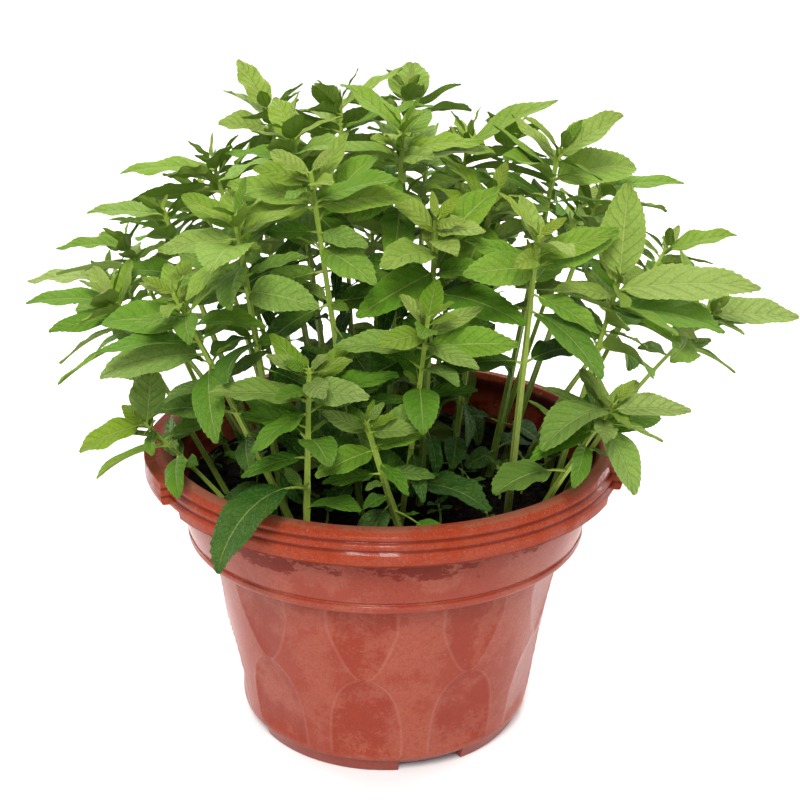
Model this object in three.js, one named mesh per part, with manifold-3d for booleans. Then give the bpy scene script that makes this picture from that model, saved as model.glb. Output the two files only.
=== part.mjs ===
// Potted mint: a moulded plastic pot with a stepped rim and two lifting ears, its soil,
// and a bush of upright leafy stems rooted in the soil.
// Millimetres, +Z up, the origin on the floor under the pot's axis, the front towards -Y.
import * as THREE from "three";
import { mergeVertices } from "three/addons/utils/BufferGeometryUtils.js";
import Module from "manifold-3d";

const wasm = await Module();
wasm.setup();

const DEGREE = Math.PI / 180;

// Pot: driving sizes
const POT_SIDES = 50;
const POT_HEIGHT = 160.6;
const RIM_RADIUS = 124.9;
const RIM_BOTTOM = 143.6;
const RIM_SHOULDER_RADIUS = 119;
const RIDGE_HEIGHT = 150.3;
const MOUTH_RADIUS = 114;
const WALL = 2.2;
const BODY_WALL = 3.4;
const COLLAR_RADIUS = 111.6;
const COLLAR_KNEE = 134;
const INSIDE_LEDGE_RADIUS = 104.6;
const INSIDE_LEDGE_HEIGHT = 116;
const LEDGE_RADIUS = 107.2;
const LEDGE_HEIGHT = 115.6;
const BODY_TOP_RADIUS = 97.2;
const BODY_TOP = 108.9;
const BASE_RADIUS = 80;
const BASE_HEIGHT = 9.8;
const BODY_MIDDLE = (BODY_TOP + BASE_HEIGHT) / 2;
const FOOT_RADIUS = 75;
const FOOT_WIDTH = 4.5;
const FLOOR_UNDERSIDE = 4.6;
const FLOOR_TOP = 7.2;
const FLOOR_EDGE_RADIUS = 73.5;
const FLOOR_EDGE_RISE = 3.6;
const BODY_WAIST = 3.6;
const BODY_ROWS = [0.2, 0.4, 0.54, 0.78];

// Relief of flat petals round the body: arches on the base and tongues under the ledge
const PETALS = 10;
const PETAL_TURN = -6.5 * DEGREE;
const ARCH_HALF_ANGLE = 13 * DEGREE;
const TONGUE_HALF_ANGLE = 10.8 * DEGREE;
const PETAL_MEETING = 0.52;
const PETAL_DEPTH = 1.9;

// Foot gaps, drain holes, lifting ears
const FOOT_GAPS = 4;
const FOOT_GAP_MIDDLE = 19.5 * DEGREE;
const FOOT_GAP_ANGLE = 27 * DEGREE;
const DRAIN_HOLES = 4;
const DRAIN_RADIUS = 5;
const DRAIN_CIRCLE = 52;
const EAR_TURN = 5.5 * DEGREE;
const EAR_HALF_ANGLE = 24.5 * DEGREE;
const EAR_RADIUS = 128.2;
const EAR_INNER_RADIUS = 121.8;
const EAR_BOTTOM = 147;
const EAR_TOP = 158.6;
const SKIRT_CUT_HALF_ANGLE = 30 * DEGREE;
const LIP_RADIUS = 121.4;
const LIP_TOP = 156.8;
const JOIN = 0.2;

// Soil
const FIT = 0.3;
const SIDE_SPARE = 0.4;
const SOIL_EDGE = 132.5;
const SOIL_CROWN = 136;
const SOIL_SIDES = 24;
const ROOT_DEPTH = 16;

// Stems
const STEM_STEPS = 4;
const STEM_FOOT = 1.6;
const STEM_TIP = 0.9;
const HOLE_CLEARANCE = 0.35;

// Leaves
const BLADE_THICKNESS = 1.3;
const ROOT_SINK = 0.3;
const STALK_HALF = 0.75;
const STALK_HEIGHT = 0.45;
const WIDEST = 2.674;
const FOLD = 0.22;
const HALF_SHARE = 0.215;
const CLEARANCE = 1.5;
const SEED = 20;

// Leaves turn their faces away from the middle of the bush: by so many degrees of rise and of roll,
// in full from this distance on
const FACE_RISE = 12;
const FACE_ROLL = 34;
const FACE_DISTANCE = 60;

// How far a leaf strays from its pair's habit, shares and degrees
const STRAY = { turn: 12, reach: 0.12, heading: 10, rise: 10, droop: 8, half: 0.02, fold: 0.12, roll: 20 };

// Sizes, turns and lifts that a leaf tries until it stands clear of the others
const SIZE_TRIES = [1, 0.86, 0.72, 0.58];
const TURN_TRIES = [0, 14, -14, 28, -28];
const LIFT_TRIES = [0, 12, -12, 24, -24];

// A leaf pair's place and habit, from the tip of a stem downwards:
// distance from the tip, share of the full length, rise and droop in degrees, stalk length
const PAIRS = [
  { below: 0.5, share: 0.34, rise: 60, droop: 8, stalk: 2.2 },
  { below: 6, share: 0.66, rise: 38, droop: 22, stalk: 2.6 },
  { below: 17, share: 0.98, rise: 24, droop: 34, stalk: 3.2 },
  { below: 38, share: 1, rise: 16, droop: 40, stalk: 4.5 },
  { below: 66, share: 0.92, rise: 10, droop: 42, stalk: 6 },
  { below: 98, share: 0.72, rise: 4, droop: 44, stalk: 7 },
];

// Edge of a blade: share of the length, and of the outline's width there, tooth and notch in turn
const LARGE_EDGE = [[0, 1], [0.08, 1], [0.3, 1.07], [0.37, 0.92], [0.58, 1.12], [0.66, 0.88], [0.84, 1.2]];
const MIDDLE_EDGE = [[0, 1], [0.12, 1], [0.4, 1.07], [0.5, 0.9], [0.76, 1.18]];
const YOUNG_EDGE = [[0, 1], [0.22, 1], [0.58, 1.1]];
const SMALL_EDGE = [[0, 1], [0.42, 1.04]];

// Stems: root on the soil, tip, bow (half is straight, less leans out late), turn of the top pair,
// number of leaf pairs and full length of a leaf
const SHOOTS = [
  { root: [-12, -45], tip: [-34, -70, 317], bow: 0.5, turn: 20, pairs: 5, reach: 46 },
  { root: [-50, -52], tip: [-68, -77, 298], bow: 0.5, turn: 60, pairs: 5, reach: 46 },
  { root: [-44, -66], tip: [-98, -74, 260], bow: 0.48, turn: -10, pairs: 5, reach: 44 },
  { root: [-84, -18], tip: [-138, -20, 243], bow: 0.5, turn: 10, pairs: 4, reach: 46 },
  { root: [-76, -45], tip: [-120, -54, 188], bow: 0.42, turn: 35, pairs: 3, reach: 38 },
  { root: [-38, -84], tip: [-34, -101, 233], bow: 0.5, turn: 15, pairs: 4, reach: 42 },
  { root: [10, -80], tip: [-8, -104, 208], bow: 0.5, turn: 50, pairs: 3, reach: 34 },
  { root: [8, -60], tip: [20, -95, 256], bow: 0.55, turn: 0, pairs: 4, reach: 42 },
  { root: [18, -36], tip: [24, -58, 292], bow: 0.5, turn: 45, pairs: 5, reach: 46 },
  { root: [0, -14], tip: [8, -28, 330], bow: 0.5, turn: 10, pairs: 4, reach: 46 },
  { root: [62, -54], tip: [70, -77, 290], bow: 0.5, turn: 25, pairs: 5, reach: 48 },
  { root: [84, -36], tip: [112, -56, 264], bow: 0.5, turn: 5, pairs: 4, reach: 50 },
  { root: [95, -18], tip: [164, -30, 240], bow: 0.3, turn: 80, pairs: 3, reach: 40 },
  { root: [71, -65], tip: [108, -88, 212], bow: 0.45, turn: 30, pairs: 3, reach: 40 },
  { root: [34, -10], tip: [52, -22, 297], bow: 0.5, turn: 70, pairs: 4, reach: 46 },
  { root: [-24, -8], tip: [-46, -14, 326], bow: 0.5, turn: 35, pairs: 5, reach: 48 },
  { root: [-64, 4], tip: [-114, 6, 281], bow: 0.5, turn: 75, pairs: 5, reach: 46 },
  { root: [-48, 28], tip: [-92, 38, 300], bow: 0.5, turn: 20, pairs: 5, reach: 46 },
  { root: [56, 2], tip: [86, -4, 316], bow: 0.5, turn: 50, pairs: 5, reach: 48 },
  { root: [22, 20], tip: [42, 28, 316], bow: 0.5, turn: 5, pairs: 4, reach: 46 },
  { root: [-36, 48], tip: [-64, 58, 324], bow: 0.5, turn: 65, pairs: 4, reach: 46 },
  { root: [-16, 22], tip: [-24, 26, 334], bow: 0.5, turn: 0, pairs: 4, reach: 46 },
  { root: [4, 50], tip: [10, 62, 334], bow: 0.5, turn: 40, pairs: 4, reach: 44 },
  { root: [66, 28], tip: [114, 34, 290], bow: 0.5, turn: 15, pairs: 5, reach: 48 },
  { root: [88, 12], tip: [148, 24, 258], bow: 0.42, turn: 60, pairs: 4, reach: 42 },
  { root: [-86, 26], tip: [-142, 44, 254], bow: 0.45, turn: 30, pairs: 4, reach: 42 },
  { root: [38, 54], tip: [68, 76, 308], bow: 0.5, turn: 25, pairs: 4, reach: 46 },
  { root: [-20, 76], tip: [-36, 98, 302], bow: 0.5, turn: 10, pairs: 3, reach: 46 },
  { root: [14, 80], tip: [22, 102, 296], bow: 0.48, turn: 55, pairs: 3, reach: 46 },
  { root: [64, 56], tip: [108, 80, 268], bow: 0.46, turn: 70, pairs: 4, reach: 46 },
  { root: [-62, 54], tip: [-106, 82, 274], bow: 0.46, turn: 40, pairs: 4, reach: 46 },
  { root: [-4, 94], tip: [-10, 110, 254], bow: 0.42, turn: 15, pairs: 4, reach: 40 },
  { root: [44, 84], tip: [66, 114, 258], bow: 0.44, turn: 35, pairs: 4, reach: 42 },
  { root: [-50, 84], tip: [-74, 114, 254], bow: 0.44, turn: 60, pairs: 4, reach: 42 },
  { root: [82, 42], tip: [154, 68, 226], bow: 0.3, turn: 20, pairs: 4, reach: 42 },
  { root: [-80, 46], tip: [-158, 70, 229], bow: 0.3, turn: 75, pairs: 4, reach: 42 },
];

// Leaves set apart from the rule: shoot, share of its height, heading, rise, droop, blade length,
// half width and stalk, roll where it has one
const SINGLE_LEAVES = [
  { shoot: 5, height: 0.35, heading: -132, rise: 30, droop: 105, reach: 57, half: 13.5, stalk: 16 },
  { shoot: 11, height: 0.95, heading: -2, rise: 16, droop: 26, reach: 66, half: 12, stalk: 4, roll: 32 },
  { shoot: 11, height: 0.99, heading: 75, rise: 80, droop: 14, reach: 44, half: 11.5, stalk: 3 },
  { shoot: 13, height: 0.5, heading: -150, rise: 8, droop: 50, reach: 32, half: 14, stalk: 12 },
  { shoot: 7, height: 0.2, heading: -35, rise: 30, droop: 60, reach: 48, half: 13, stalk: 4 },
  { shoot: 6, height: 0.3, heading: -60, rise: -5, droop: 40, reach: 26, half: 12, stalk: 14 },
  { shoot: 6, height: 0.36, heading: -112, rise: 10, droop: 70, reach: 38, half: 12, stalk: 5 },
  { shoot: 5, height: 0.24, heading: -40, rise: 14, droop: 50, reach: 32, half: 9, stalk: 5 },
  { shoot: 3, height: 0.97, heading: 178, rise: 10, droop: 24, reach: 44, half: 8, stalk: 3, roll: -18 },
  { shoot: 3, height: 0.9, heading: -158, rise: 4, droop: 24, reach: 36, half: 8, stalk: 3, roll: -22 },
  { shoot: 2, height: 0.76, heading: -170, rise: 8, droop: 44, reach: 50, half: 12, stalk: 4, roll: -28 },
  { shoot: 1, height: 0.9, heading: -95, rise: 24, droop: 36, reach: 66, half: 13, stalk: 4 },
  { shoot: 16, height: 0.98, heading: 180, rise: 12, droop: 20, reach: 38, half: 8, stalk: 3, roll: -16 },
  { shoot: 25, height: 0.98, heading: -176, rise: 10, droop: 24, reach: 36, half: 7, stalk: 3, roll: -12 },
  { shoot: 35, height: 0.97, heading: -178, rise: 8, droop: 20, reach: 46, half: 9, stalk: 3, roll: -12 },
  { shoot: 17, height: 0.97, heading: 175, rise: 8, droop: 24, reach: 50, half: 10, stalk: 3, roll: -14 },
  { shoot: 20, height: 0.99, heading: 130, rise: 48, droop: 10, reach: 34, half: 9, stalk: 3 },
  { shoot: 20, height: 0.94, heading: -170, rise: 18, droop: 20, reach: 26, half: 11, stalk: 3, roll: -20 },
  { shoot: 21, height: 0.98, heading: 20, rise: 36, droop: 16, reach: 36, half: 8, stalk: 3 },
  { shoot: 22, height: 0.96, heading: 80, rise: 56, droop: 30, reach: 26, half: 12, stalk: 3 },
  { shoot: 9, height: 0.98, heading: 145, rise: 40, droop: 20, reach: 40, half: 10, stalk: 3 },
  { shoot: 18, height: 0.97, heading: 12, rise: 44, droop: 14, reach: 36, half: 12, stalk: 3, roll: 20 },
  { shoot: 19, height: 0.97, heading: 14, rise: 36, droop: 16, reach: 50, half: 8, stalk: 3, roll: 18 },
  { shoot: 23, height: 0.98, heading: 4, rise: 14, droop: 20, reach: 42, half: 8, stalk: 3, roll: 14 },
  { shoot: 24, height: 0.98, heading: 12, rise: 22, droop: 20, reach: 38, half: 8, stalk: 3, roll: 16 },
  { shoot: 24, height: 0.9, heading: -14, rise: 8, droop: 20, reach: 40, half: 7, stalk: 3 },
  { shoot: 12, height: 0.98, heading: -2, rise: 6, droop: 16, reach: 42, half: 10, stalk: 3, roll: 28 },
  { shoot: 12, height: 0.97, heading: 25, rise: 30, droop: 14, reach: 38, half: 9, stalk: 3, roll: 24 },
  { shoot: 12, height: 0.9, heading: 150, rise: 82, droop: 12, reach: 38, half: 9, stalk: 4 },
  { shoot: 13, height: 0.97, heading: -150, rise: 10, droop: 60, reach: 40, half: 14, stalk: 4 },
  { shoot: 13, height: 0.96, heading: 0, rise: 8, droop: 20, reach: 36, half: 8, stalk: 3, roll: 24 },
  { shoot: 13, height: 0.86, heading: -52, rise: -30, droop: 40, reach: 34, half: 10, stalk: 5 },
  { shoot: 4, height: 0.98, heading: -165, rise: -10, droop: 30, reach: 34, half: 9, stalk: 3, roll: -24 },
  { shoot: 4, height: 0.96, heading: 80, rise: 72, droop: 16, reach: 28, half: 10, stalk: 3 },
];

function draws(seed) {
  let state = seed >>> 0;
  return () => {
    state = (state + 0x6d2b79f5) >>> 0;
    let mixed = state;
    mixed = Math.imul(mixed ^ (mixed >>> 15), mixed | 1);
    mixed ^= mixed + Math.imul(mixed ^ (mixed >>> 7), mixed | 61);
    return ((mixed ^ (mixed >>> 14)) >>> 0) / 2 ** 32;
  };
}

// Closed bodies and their joins
function toSolid(geometry) {
  const bare = new THREE.BufferGeometry();
  bare.setAttribute("position", geometry.getAttribute("position").clone());
  if (geometry.index) {
    bare.setIndex(geometry.index.clone());
  }
  const merged = mergeVertices(bare, 1e-4);
  const corners = merged.index.array;
  const kept = [];
  for (let i = 0; i < corners.length; i += 3) {
    const [a, b, c] = [corners[i], corners[i + 1], corners[i + 2]];
    if (a !== b && b !== c && c !== a) {
      kept.push(a, b, c);
    }
  }
  const mesh = new wasm.Mesh({
    numProp: 3,
    vertProperties: new Float32Array(merged.getAttribute("position").array),
    triVerts: new Uint32Array(kept),
  });
  return new wasm.Manifold(mesh);
}

function toGeometry(solid) {
  const mesh = solid.getMesh();
  const geometry = new THREE.BufferGeometry();
  geometry.setAttribute("position", new THREE.BufferAttribute(mesh.vertProperties, 3));
  geometry.setIndex(new THREE.BufferAttribute(mesh.triVerts, 1));
  geometry.computeVertexNormals();
  return geometry;
}

function fused(solids) {
  return solids.reduce((joined, next) => joined.add(next));
}

function bodyRadius(height) {
  const share = (height - BASE_HEIGHT) / (BODY_TOP - BASE_HEIGHT);
  return BASE_RADIUS + (BODY_TOP_RADIUS - BASE_RADIUS) * share - BODY_WAIST * share * (1 - share);
}

// Half angle of a petal at a share of the body's height, zero outside it
function petalHalfAngle(share) {
  if (share < PETAL_MEETING) {
    const rise = share / PETAL_MEETING;
    return ARCH_HALF_ANGLE * Math.sqrt(Math.max(0, 1 - rise * rise * rise));
  }
  const fall = (share - PETAL_MEETING) / (1 - PETAL_MEETING);
  return TONGUE_HALF_ANGLE * Math.sqrt(Math.min(1, 1.6 * fall));
}

function petalDip(azimuth, share) {
  const spacing = (2 * Math.PI) / PETALS;
  const turn = azimuth - PETAL_TURN;
  const offset = Math.abs(turn - spacing * Math.round(turn / spacing));
  const half = petalHalfAngle(share);
  if (half <= 0 || offset >= half) {
    return 0;
  }
  return PETAL_DEPTH * (half / ARCH_HALF_ANGLE) * (1 - (offset / half) ** 2);
}

// A ring sector, standing on a height, about an azimuth measured from the front towards the right
function sector(azimuth, halfAngle, inner, outer, bottom, top) {
  const shape = new THREE.Shape();
  const middle = azimuth - Math.PI / 2;
  shape.absarc(0, 0, outer, middle - halfAngle, middle + halfAngle, false);
  shape.absarc(0, 0, inner, middle + halfAngle, middle - halfAngle, true);
  shape.closePath();
  const geometry = new THREE.ExtrudeGeometry(shape, {
    depth: top - bottom,
    bevelEnabled: false,
    curveSegments: 4,
  });
  geometry.translate(0, 0, bottom);
  return toSolid(geometry);
}

function potSolid() {
  const underside = [[0, FLOOR_UNDERSIDE], [FOOT_RADIUS - FOOT_WIDTH, FLOOR_UNDERSIDE]];
  const foot = [[FOOT_RADIUS - FOOT_WIDTH, 0], [FOOT_RADIUS, 0], [FOOT_RADIUS + 2, BASE_HEIGHT - 1.6]];
  const body = [[BASE_RADIUS, BASE_HEIGHT]];
  for (const share of BODY_ROWS) {
    const height = BASE_HEIGHT + share * (BODY_TOP - BASE_HEIGHT);
    body.push([bodyRadius(height), height]);
  }
  body.push([BODY_TOP_RADIUS, BODY_TOP]);
  const ledge = [
    [LEDGE_RADIUS - 3.3, BODY_TOP],
    [LEDGE_RADIUS, LEDGE_HEIGHT - 2],
    [LEDGE_RADIUS - 0.6, LEDGE_HEIGHT + 0.4],
  ];
  const collar = [[COLLAR_RADIUS, COLLAR_KNEE], [COLLAR_RADIUS + 2.3, LIP_TOP]];
  const lip = [[LIP_RADIUS, LIP_TOP], [LIP_RADIUS, RIM_BOTTOM]];
  const rim = [
    [RIM_RADIUS - 0.6, RIM_BOTTOM],
    [RIM_RADIUS, RIDGE_HEIGHT],
    [RIM_RADIUS - 1.1, RIDGE_HEIGHT + 1.3],
    [RIM_RADIUS - 1.2, RIDGE_HEIGHT + 4.7],
    [RIM_RADIUS - 2.4, RIDGE_HEIGHT + 5.9],
    [RIM_RADIUS - 3.4, POT_HEIGHT - 1.4],
    [RIM_SHOULDER_RADIUS, POT_HEIGHT],
    [MOUTH_RADIUS, POT_HEIGHT],
  ];
  const inside = [
    [MOUTH_RADIUS - 2.3, POT_HEIGHT - 4],
    [COLLAR_RADIUS - WALL, COLLAR_KNEE],
    [INSIDE_LEDGE_RADIUS, INSIDE_LEDGE_HEIGHT],
    [BODY_TOP_RADIUS - BODY_WALL, BODY_TOP - 1.6],
    [bodyRadius(BODY_MIDDLE) - BODY_WALL, BODY_MIDDLE],
  ];
  const floor = [
    [BASE_RADIUS - BODY_WALL, FLOOR_TOP + FLOOR_EDGE_RISE],
    [FLOOR_EDGE_RADIUS, FLOOR_TOP],
    [0, FLOOR_TOP],
  ];
  const profile = [underside, foot, body, ledge, collar, lip, rim, inside, floor].flat();
  const firstBodyRow = underside.length + foot.length;
  const points = profile.map(([radius, height]) => new THREE.Vector2(radius, height));
  const lathe = new THREE.LatheGeometry(points, POT_SIDES, PETAL_TURN);
  lathe.rotateX(Math.PI / 2);
  const position = lathe.getAttribute("position");
  for (let side = 0; side <= POT_SIDES; side += 1) {
    for (let row = firstBodyRow; row < firstBodyRow + body.length; row += 1) {
      const corner = side * points.length + row;
      const azimuth = PETAL_TURN + (2 * Math.PI * (side % POT_SIDES)) / POT_SIDES;
      const share = (points[row].y - BASE_HEIGHT) / (BODY_TOP - BASE_HEIGHT);
      const radius = points[row].x - petalDip(azimuth, share);
      position.setX(corner, radius * Math.sin(azimuth));
      position.setY(corner, -radius * Math.cos(azimuth));
    }
  }
  let pot = toSolid(lathe);
  for (const facing of [Math.PI / 2, -Math.PI / 2]) {
    const azimuth = facing + EAR_TURN;
    const cutInner = LIP_RADIUS - 1;
    const cutOuter = RIM_RADIUS + 4;
    const cut = sector(azimuth, SKIRT_CUT_HALF_ANGLE, cutInner, cutOuter, RIM_BOTTOM - 3, EAR_BOTTOM);
    const ear = sector(azimuth, EAR_HALF_ANGLE, EAR_INNER_RADIUS, EAR_RADIUS, EAR_BOTTOM - JOIN, EAR_TOP);
    pot = pot.subtract(cut).add(ear);
  }
  for (let gap = 0; gap < FOOT_GAPS; gap += 1) {
    const azimuth = FOOT_GAP_MIDDLE + (2 * Math.PI * gap) / FOOT_GAPS;
    const gapInner = FOOT_RADIUS - FOOT_WIDTH - 2;
    const gapOuter = FOOT_RADIUS + 6;
    pot = pot.subtract(sector(azimuth, FOOT_GAP_ANGLE / 2, gapInner, gapOuter, -1, FLOOR_UNDERSIDE));
  }
  for (let hole = 0; hole < DRAIN_HOLES; hole += 1) {
    const azimuth = FOOT_GAP_MIDDLE + (2 * Math.PI * hole) / DRAIN_HOLES;
    const drill = new THREE.CylinderGeometry(DRAIN_RADIUS, DRAIN_RADIUS, 10, 6);
    drill.rotateX(Math.PI / 2);
    drill.translate(DRAIN_CIRCLE * Math.sin(azimuth), -DRAIN_CIRCLE * Math.cos(azimuth), FLOOR_TOP - 1);
    pot = pot.subtract(toSolid(drill));
  }
  return pot;
}

// Height of the soil at a distance from the axis
function soilHeight(distance) {
  const share = Math.min(1, distance / MOUTH_RADIUS);
  return SOIL_CROWN - (SOIL_CROWN - SOIL_EDGE) * share * share;
}

// Radius of the collar's inner wall between the inside ledge and its knee
function insideRadius(height) {
  const share = (height - INSIDE_LEDGE_HEIGHT) / (COLLAR_KNEE - INSIDE_LEDGE_HEIGHT);
  return INSIDE_LEDGE_RADIUS + (COLLAR_RADIUS - WALL - INSIDE_LEDGE_RADIUS) * share;
}

function soilSolid(holes) {
  const top = [0.8, 0.4].map((share) => {
    const distance = share * insideRadius(SOIL_EDGE);
    return [distance, soilHeight(distance)];
  });
  const spare = FIT + SIDE_SPARE;
  const profile = [
    [0, FLOOR_TOP + FIT],
    [FLOOR_EDGE_RADIUS - spare, FLOOR_TOP + FIT],
    [BASE_RADIUS - BODY_WALL - spare, FLOOR_TOP + FLOOR_EDGE_RISE],
    [bodyRadius(BODY_MIDDLE) - BODY_WALL - spare, BODY_MIDDLE],
    [BODY_TOP_RADIUS - BODY_WALL - spare, BODY_TOP - 1.6],
    [INSIDE_LEDGE_RADIUS - spare, INSIDE_LEDGE_HEIGHT],
    [insideRadius(SOIL_EDGE) - spare, SOIL_EDGE],
    ...top,
    [0, SOIL_CROWN],
  ];
  const points = profile.map(([radius, height]) => new THREE.Vector2(radius, height));
  const lathe = new THREE.LatheGeometry(points, SOIL_SIDES, PETAL_TURN);
  lathe.rotateX(Math.PI / 2);
  return holes.reduce((soil, hole) => soil.subtract(hole), toSolid(lathe));
}

// Path of a stem above the soil
function stemPath(shoot) {
  const [rootX, rootY] = shoot.root;
  const [tipX, tipY, tipZ] = shoot.tip;
  const ground = soilHeight(Math.hypot(rootX, rootY));
  const bowX = rootX + (tipX - rootX) * shoot.bow;
  const bowY = rootY + (tipY - rootY) * shoot.bow;
  return new THREE.QuadraticBezierCurve3(
    new THREE.Vector3(rootX, rootY, ground),
    new THREE.Vector3(bowX, bowY, (ground + tipZ) / 2),
    new THREE.Vector3(tipX, tipY, tipZ),
  );
}

// A square bar through rings of four corners, closed at both ends
function squareBar(rings) {
  const positions = rings.flatMap((ring) => ring.flatMap((corner) => [corner.x, corner.y, corner.z]));
  const index = [];
  for (let ring = 0; ring + 1 < rings.length; ring += 1) {
    for (let side = 0; side < 4; side += 1) {
      const a = ring * 4 + side;
      const b = ring * 4 + ((side + 1) % 4);
      index.push(a, b, b + 4, a, b + 4, a + 4);
    }
  }
  const last = (rings.length - 1) * 4;
  index.push(2, 1, 0, 3, 2, 0);
  index.push(last, last + 1, last + 2, last, last + 2, last + 3);
  const geometry = new THREE.BufferGeometry();
  geometry.setAttribute("position", new THREE.Float32BufferAttribute(positions, 3));
  geometry.setIndex(index);
  return geometry;
}

function squareRing(centre, half, turn) {
  return [45, 135, 225, 315].map((degrees) => {
    const angle = degrees * DEGREE + turn;
    return new THREE.Vector3(
      centre.x + half * Math.SQRT2 * Math.cos(angle),
      centre.y + half * Math.SQRT2 * Math.sin(angle),
      centre.z,
    );
  });
}

function stemHalfWidth(share) {
  return STEM_FOOT + (STEM_TIP - STEM_FOOT) * share;
}

function stemSolid(shoot) {
  const path = stemPath(shoot);
  const turn = shoot.turn * DEGREE;
  const foot = path.getPoint(0);
  const buried = foot.clone().setZ(foot.z - ROOT_DEPTH);
  const rings = [squareRing(buried, STEM_FOOT, turn)];
  for (let step = 0; step <= STEM_STEPS; step += 1) {
    const share = step / STEM_STEPS;
    rings.push(squareRing(path.getPoint(share), stemHalfWidth(share), turn));
  }
  return toSolid(squareBar(rings));
}

function rootHole(shoot) {
  const foot = stemPath(shoot).getPoint(0);
  const turn = shoot.turn * DEGREE;
  const half = STEM_FOOT + HOLE_CLEARANCE;
  const low = foot.clone().setZ(foot.z - ROOT_DEPTH - FIT);
  const high = foot.clone().setZ(foot.z + 10);
  return toSolid(squareBar([squareRing(low, half, turn), squareRing(high, half, turn)]));
}

// A leaf grows from its foot along an arc that starts at its rise and bends down by its droop
function leafPoint(leaf, along, across, lift) {
  const bend = leaf.droop / (leaf.stalk + leaf.reach);
  const slope = leaf.rise - bend * along;
  const fold = Math.abs(across) * Math.sin(leaf.fold) + lift;
  const ahead = (Math.sin(leaf.rise) - Math.sin(slope)) / bend - Math.sin(slope) * fold;
  const up = (Math.cos(slope) - Math.cos(leaf.rise)) / bend + Math.cos(slope) * fold;
  const side = across * Math.cos(leaf.fold);
  const rolledSide = side * Math.cos(leaf.roll) - up * Math.sin(leaf.roll);
  const rolledUp = side * Math.sin(leaf.roll) + up * Math.cos(leaf.roll);
  return new THREE.Vector3(
    leaf.foot.x + ahead * Math.cos(leaf.heading) - rolledSide * Math.sin(leaf.heading),
    leaf.foot.y + ahead * Math.sin(leaf.heading) + rolledSide * Math.cos(leaf.heading),
    leaf.foot.z + rolledUp,
  );
}

function outlineWidth(share) {
  return WIDEST * (1 - share) ** 0.85 * share ** 0.6;
}

function edgeOf(leaf) {
  if (leaf.reach > 52) {
    return LARGE_EDGE;
  }
  if (leaf.reach > 36) {
    return MIDDLE_EDGE;
  }
  return leaf.reach > 20 ? YOUNG_EDGE : SMALL_EDGE;
}

// Corners of one face of a blade: root, tip, ribs along the middle, then the left and right edge;
// lifts raise the root, the ribs and the outline, spread widens the outline
function bladeCorners(leaf, [rootLift, ribLift, edgeLift], spread) {
  const edge = edgeOf(leaf);
  const ribs = edge === LARGE_EDGE ? [0.24, 0.58] : [0.42];
  const place = (share) => leaf.stalk + share * leaf.reach;
  const root = leafPoint(leaf, -ROOT_SINK, 0, rootLift);
  const corners = [root, leafPoint(leaf, place(1) + spread, 0, edgeLift)];
  for (const share of ribs) {
    corners.push(leafPoint(leaf, place(share), 0, ribLift));
  }
  for (const sign of [1, -1]) {
    for (const [share, tooth] of edge) {
      const across = Math.max(STALK_HALF, leaf.half * outlineWidth(share) * tooth) + spread;
      corners.push(leafPoint(leaf, place(share), sign * across, edgeLift));
    }
  }
  return { corners, ribs: ribs.length, teeth: edge.length };
}

// Triangles of one face, counter-clockwise from above: root 0, tip 1, then ribs and edges
function faceTriangles(ribs, teeth, firstRib, firstEdge) {
  const bridge = ribs === 1 ? teeth : Math.ceil(teeth / 2);
  const half = (edge) => {
    const triangles = [[0, firstRib, edge]];
    for (let tooth = 0; tooth + 1 < teeth; tooth += 1) {
      if (tooth + 1 === bridge) {
        triangles.push([firstRib, firstRib + 1, edge + tooth]);
      }
      const rib = tooth + 1 < bridge ? firstRib : firstRib + ribs - 1;
      triangles.push([rib, edge + tooth + 1, edge + tooth]);
    }
    triangles.push([firstRib + ribs - 1, 1, edge + teeth - 1]);
    return triangles;
  };
  const left = half(firstEdge);
  const right = half(firstEdge + teeth).map(([a, b, c]) => [a, c, b]);
  return left.concat(right);
}

// A lens-shaped blade: both faces share the outline, the ribs and the root stand apart
function leafSolid(leaf) {
  const half = BLADE_THICKNESS / 2;
  const { corners: above, ribs, teeth } = bladeCorners(leaf, [STALK_HEIGHT, half, 0], 0);
  const { corners: below } = bladeCorners(leaf, [-STALK_HEIGHT, -half, 0], 0);
  const corners = [...above, below[0], ...below.slice(2, 2 + ribs)];
  const firstEdge = 2 + ribs;
  const lowerRoot = above.length;
  const lower = (corner) => {
    if (corner === 0) {
      return lowerRoot;
    }
    return corner >= 2 && corner < firstEdge ? lowerRoot + corner - 1 : corner;
  };
  const upperFace = faceTriangles(ribs, teeth, 2, firstEdge);
  const lowerFace = upperFace.map(([a, b, c]) => [lower(a), lower(c), lower(b)]);
  const rootSides = [[0, firstEdge, lowerRoot], [0, lowerRoot, firstEdge + teeth]];
  const geometry = new THREE.BufferGeometry();
  geometry.setAttribute(
    "position",
    new THREE.Float32BufferAttribute(corners.flatMap((corner) => [corner.x, corner.y, corner.z]), 3),
  );
  geometry.setIndex([...upperFace, ...lowerFace, ...rootSides].flat());
  return toSolid(geometry);
}

// Skins of a leaf for the clearance test: its middle surface, and the same lifted and lowered
function leafSkins(owner, leaf) {
  const triangles = [];
  const blade = [];
  for (const lift of [0, CLEARANCE, -CLEARANCE]) {
    const { corners, ribs, teeth } = bladeCorners(leaf, [lift, lift, lift], CLEARANCE);
    for (const [a, b, c] of faceTriangles(ribs, teeth, 2, 2 + ribs)) {
      triangles.push([corners[a], corners[b], corners[c]]);
      if (a !== 0) {
        blade.push([corners[a], corners[b], corners[c]]);
      }
    }
  }
  return obstacle(owner, triangles, blade);
}

function stripTriangles(lower, upper) {
  const triangles = [];
  for (let i = 0; i + 1 < lower.length; i += 1) {
    triangles.push([lower[i], lower[i + 1], upper[i + 1]], [lower[i], upper[i + 1], upper[i]]);
  }
  return triangles;
}

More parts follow.
